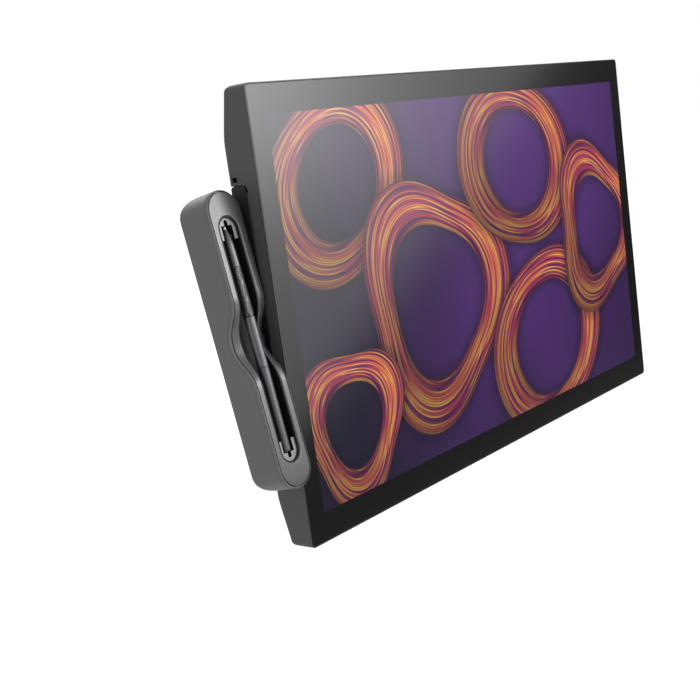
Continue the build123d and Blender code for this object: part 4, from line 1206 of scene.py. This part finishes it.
@dataclass
class Lamp:
    """One soft lamp, with its place and target in metres."""

    name: str
    place: Spot
    target: Spot
    width: float
    height: float
    power: float

    def build(self) -> None:
        """Hangs the lamp and points it at its target."""
        data = bpy.data.lights.new(self.name, "AREA")
        data.shape = "RECTANGLE"
        data.size, data.size_y = self.width, self.height
        data.energy = self.power
        made = stand(self.name, data)
        made.location = self.place
        aim = Vector(self.target) - Vector(self.place)
        made.rotation_euler = aim.to_track_quat("-Z", "Y").to_euler()


@dataclass
class Studio:
    """The floor, the lamps, a dark card and the camera, in metres and degrees."""

    camera_place: Spot = (-0.8640, -0.5960, 0.1170)
    heading: float = 49.148
    pitch: float = -9.960
    roll: float = -7.849
    sensor: float = 36.0
    focal_pixels: float = 1140.3
    image_pixels: float = 700.0
    clip: Pair = (0.01, 50.0)
    floor_level: float = -0.27
    floor_size: float = 60.0
    floor_grey: float = 0.6
    floor_glow: Pair = (0.66, 1.0)
    floor_fade: Pair = (0.7, 3.0)
    sky: float = 0.3
    lamps: tuple[Lamp, ...] = (
        Lamp("key_lamp", (-0.60, -1.35, 0.45), (-0.28, 0.0, 0.0), 0.5, 0.5, 6.0),
        Lamp("glare_lamp", (0.42, -1.25, 0.34), (-0.28, 0.0, 0.05), 1.05, 0.5, 20.0),
        Lamp("left_lamp", (-1.9, 0.1, 0.40), (-0.2, 0.0, 0.0), 1.0, 1.0, 6.0),
        Lamp("rear_lamp", (0.3, 1.7, 0.9), (0.0, 0.0, 0.0), 1.2, 1.2, 16.0),
    )
    card_depth: float = -0.12
    card: tuple = ((-0.32, -0.265), (1.2, -0.265), (1.2, 0.6), (0.95, 0.6), (-0.19, -0.11), (-0.32, -0.11))

    def build(self) -> None:
        """Builds the studio."""
        self.build_camera()
        self.build_world()
        self.build_floor()
        for lamp in self.lamps:
            lamp.build()
        self.build_card()
        bpy.context.scene.view_settings.view_transform = "Standard"
        LOG.info("built the studio: camera, sky, floor, %d lamps and a card", len(self.lamps))

    def build_card(self) -> None:
        """Stands a flat black card before the screen, which shows in reflections alone."""
        mesh = bmesh.new()
        mesh.faces.new([mesh.verts.new((x, self.card_depth, z)) for x, z in self.card])
        made = piece("dark_card", mesh, Matrix())
        made.data.materials.append(CARD.material())
        made.visible_camera = made.visible_diffuse = made.visible_shadow = False

    def build_camera(self) -> None:
        """Stands the camera where the photograph was taken."""
        data = bpy.data.cameras.new("camera")
        data.sensor_width = self.sensor
        data.lens = self.focal_pixels / self.image_pixels * self.sensor
        data.clip_start, data.clip_end = self.clip
        made = stand("camera", data)
        turn = Matrix()
        for angle, axis in ((-self.heading, "Z"), (90 + self.pitch, "X"), (self.roll, "Z")):
            turn = turn @ Matrix.Rotation(radians(angle), 4, axis)
        made.matrix_world = Matrix.Translation(self.camera_place) @ turn
        bpy.context.scene.camera = made

    def build_world(self) -> None:
        """Makes a plain grey sky that looks white to the camera and in reflections."""
        world = bpy.data.worlds.new("studio_sky")
        bpy.context.scene.world = world
        world.use_nodes = True
        graph = Graph(world.node_tree)
        strength = graph.add("MapRange", Value=graph.seen(), To_Min=self.sky, To_Max=1.0)
        back = graph.add("Background", Color=(1.0, 1.0, 1.0, 1.0), Strength=strength.outputs["Result"])
        graph.add("OutputWorld", Surface=back.outputs[0])

    def build_floor(self) -> None:
        """Lays a pale floor under the display that keeps a soft shadow."""
        mesh = bmesh.new()
        bmesh.ops.create_grid(mesh, x_segments=2, y_segments=2, size=self.floor_size / 2)
        floor = piece("floor", mesh, Matrix.Translation((0.0, 0.0, self.floor_level)))
        made, graph = new_material("studio_floor")
        paper = graph.add("BsdfDiffuse", Color=(*[self.floor_grey] * 3, 1.0))
        away = graph.add("VectorMath", {"operation": "LENGTH"}, graph.add("TexCoord").outputs["Object"])
        rise = graph.add("MapRange", EASE, away.outputs["Value"], *self.floor_fade, *self.floor_glow)
        glow = graph.add("Emission", Strength=graph.math("MULTIPLY", graph.seen(), rise.outputs["Result"]))
        mix = graph.add("AddShader", None, paper.outputs[0], glow.outputs[0])
        graph.add("OutputMaterial", Surface=mix.outputs[0])
        floor.data.materials.append(made)


def dress_nodes() -> None:
    """Gives every carried-over node its finish, and the panel its picture."""
    looks = {name: finish.material() for finish, names in DRESS.items() for name in names.split()}
    looks["lcd_cell"] = bpy.data.materials.get("screen_picture")
    for name, look in looks.items():
        for slot in frame["nodes"][name].material_slots:
            slot.material = look
    LOG.info("dressed %d nodes", len(looks))


def main() -> None:
    """Builds the display, the tray, the pen and the studio."""
    logging.basicConfig(level=logging.INFO)
    DisplayFront().build()
    tray = PenTray()
    tray.build()
    Pen(tray).build()
    for node in ("casing_screws", "bracket_screws"):
        ScrewSet(node, head_height=1.8).build()
    dress_nodes()
    Studio().build()


if __name__ == "__main__":
    main()
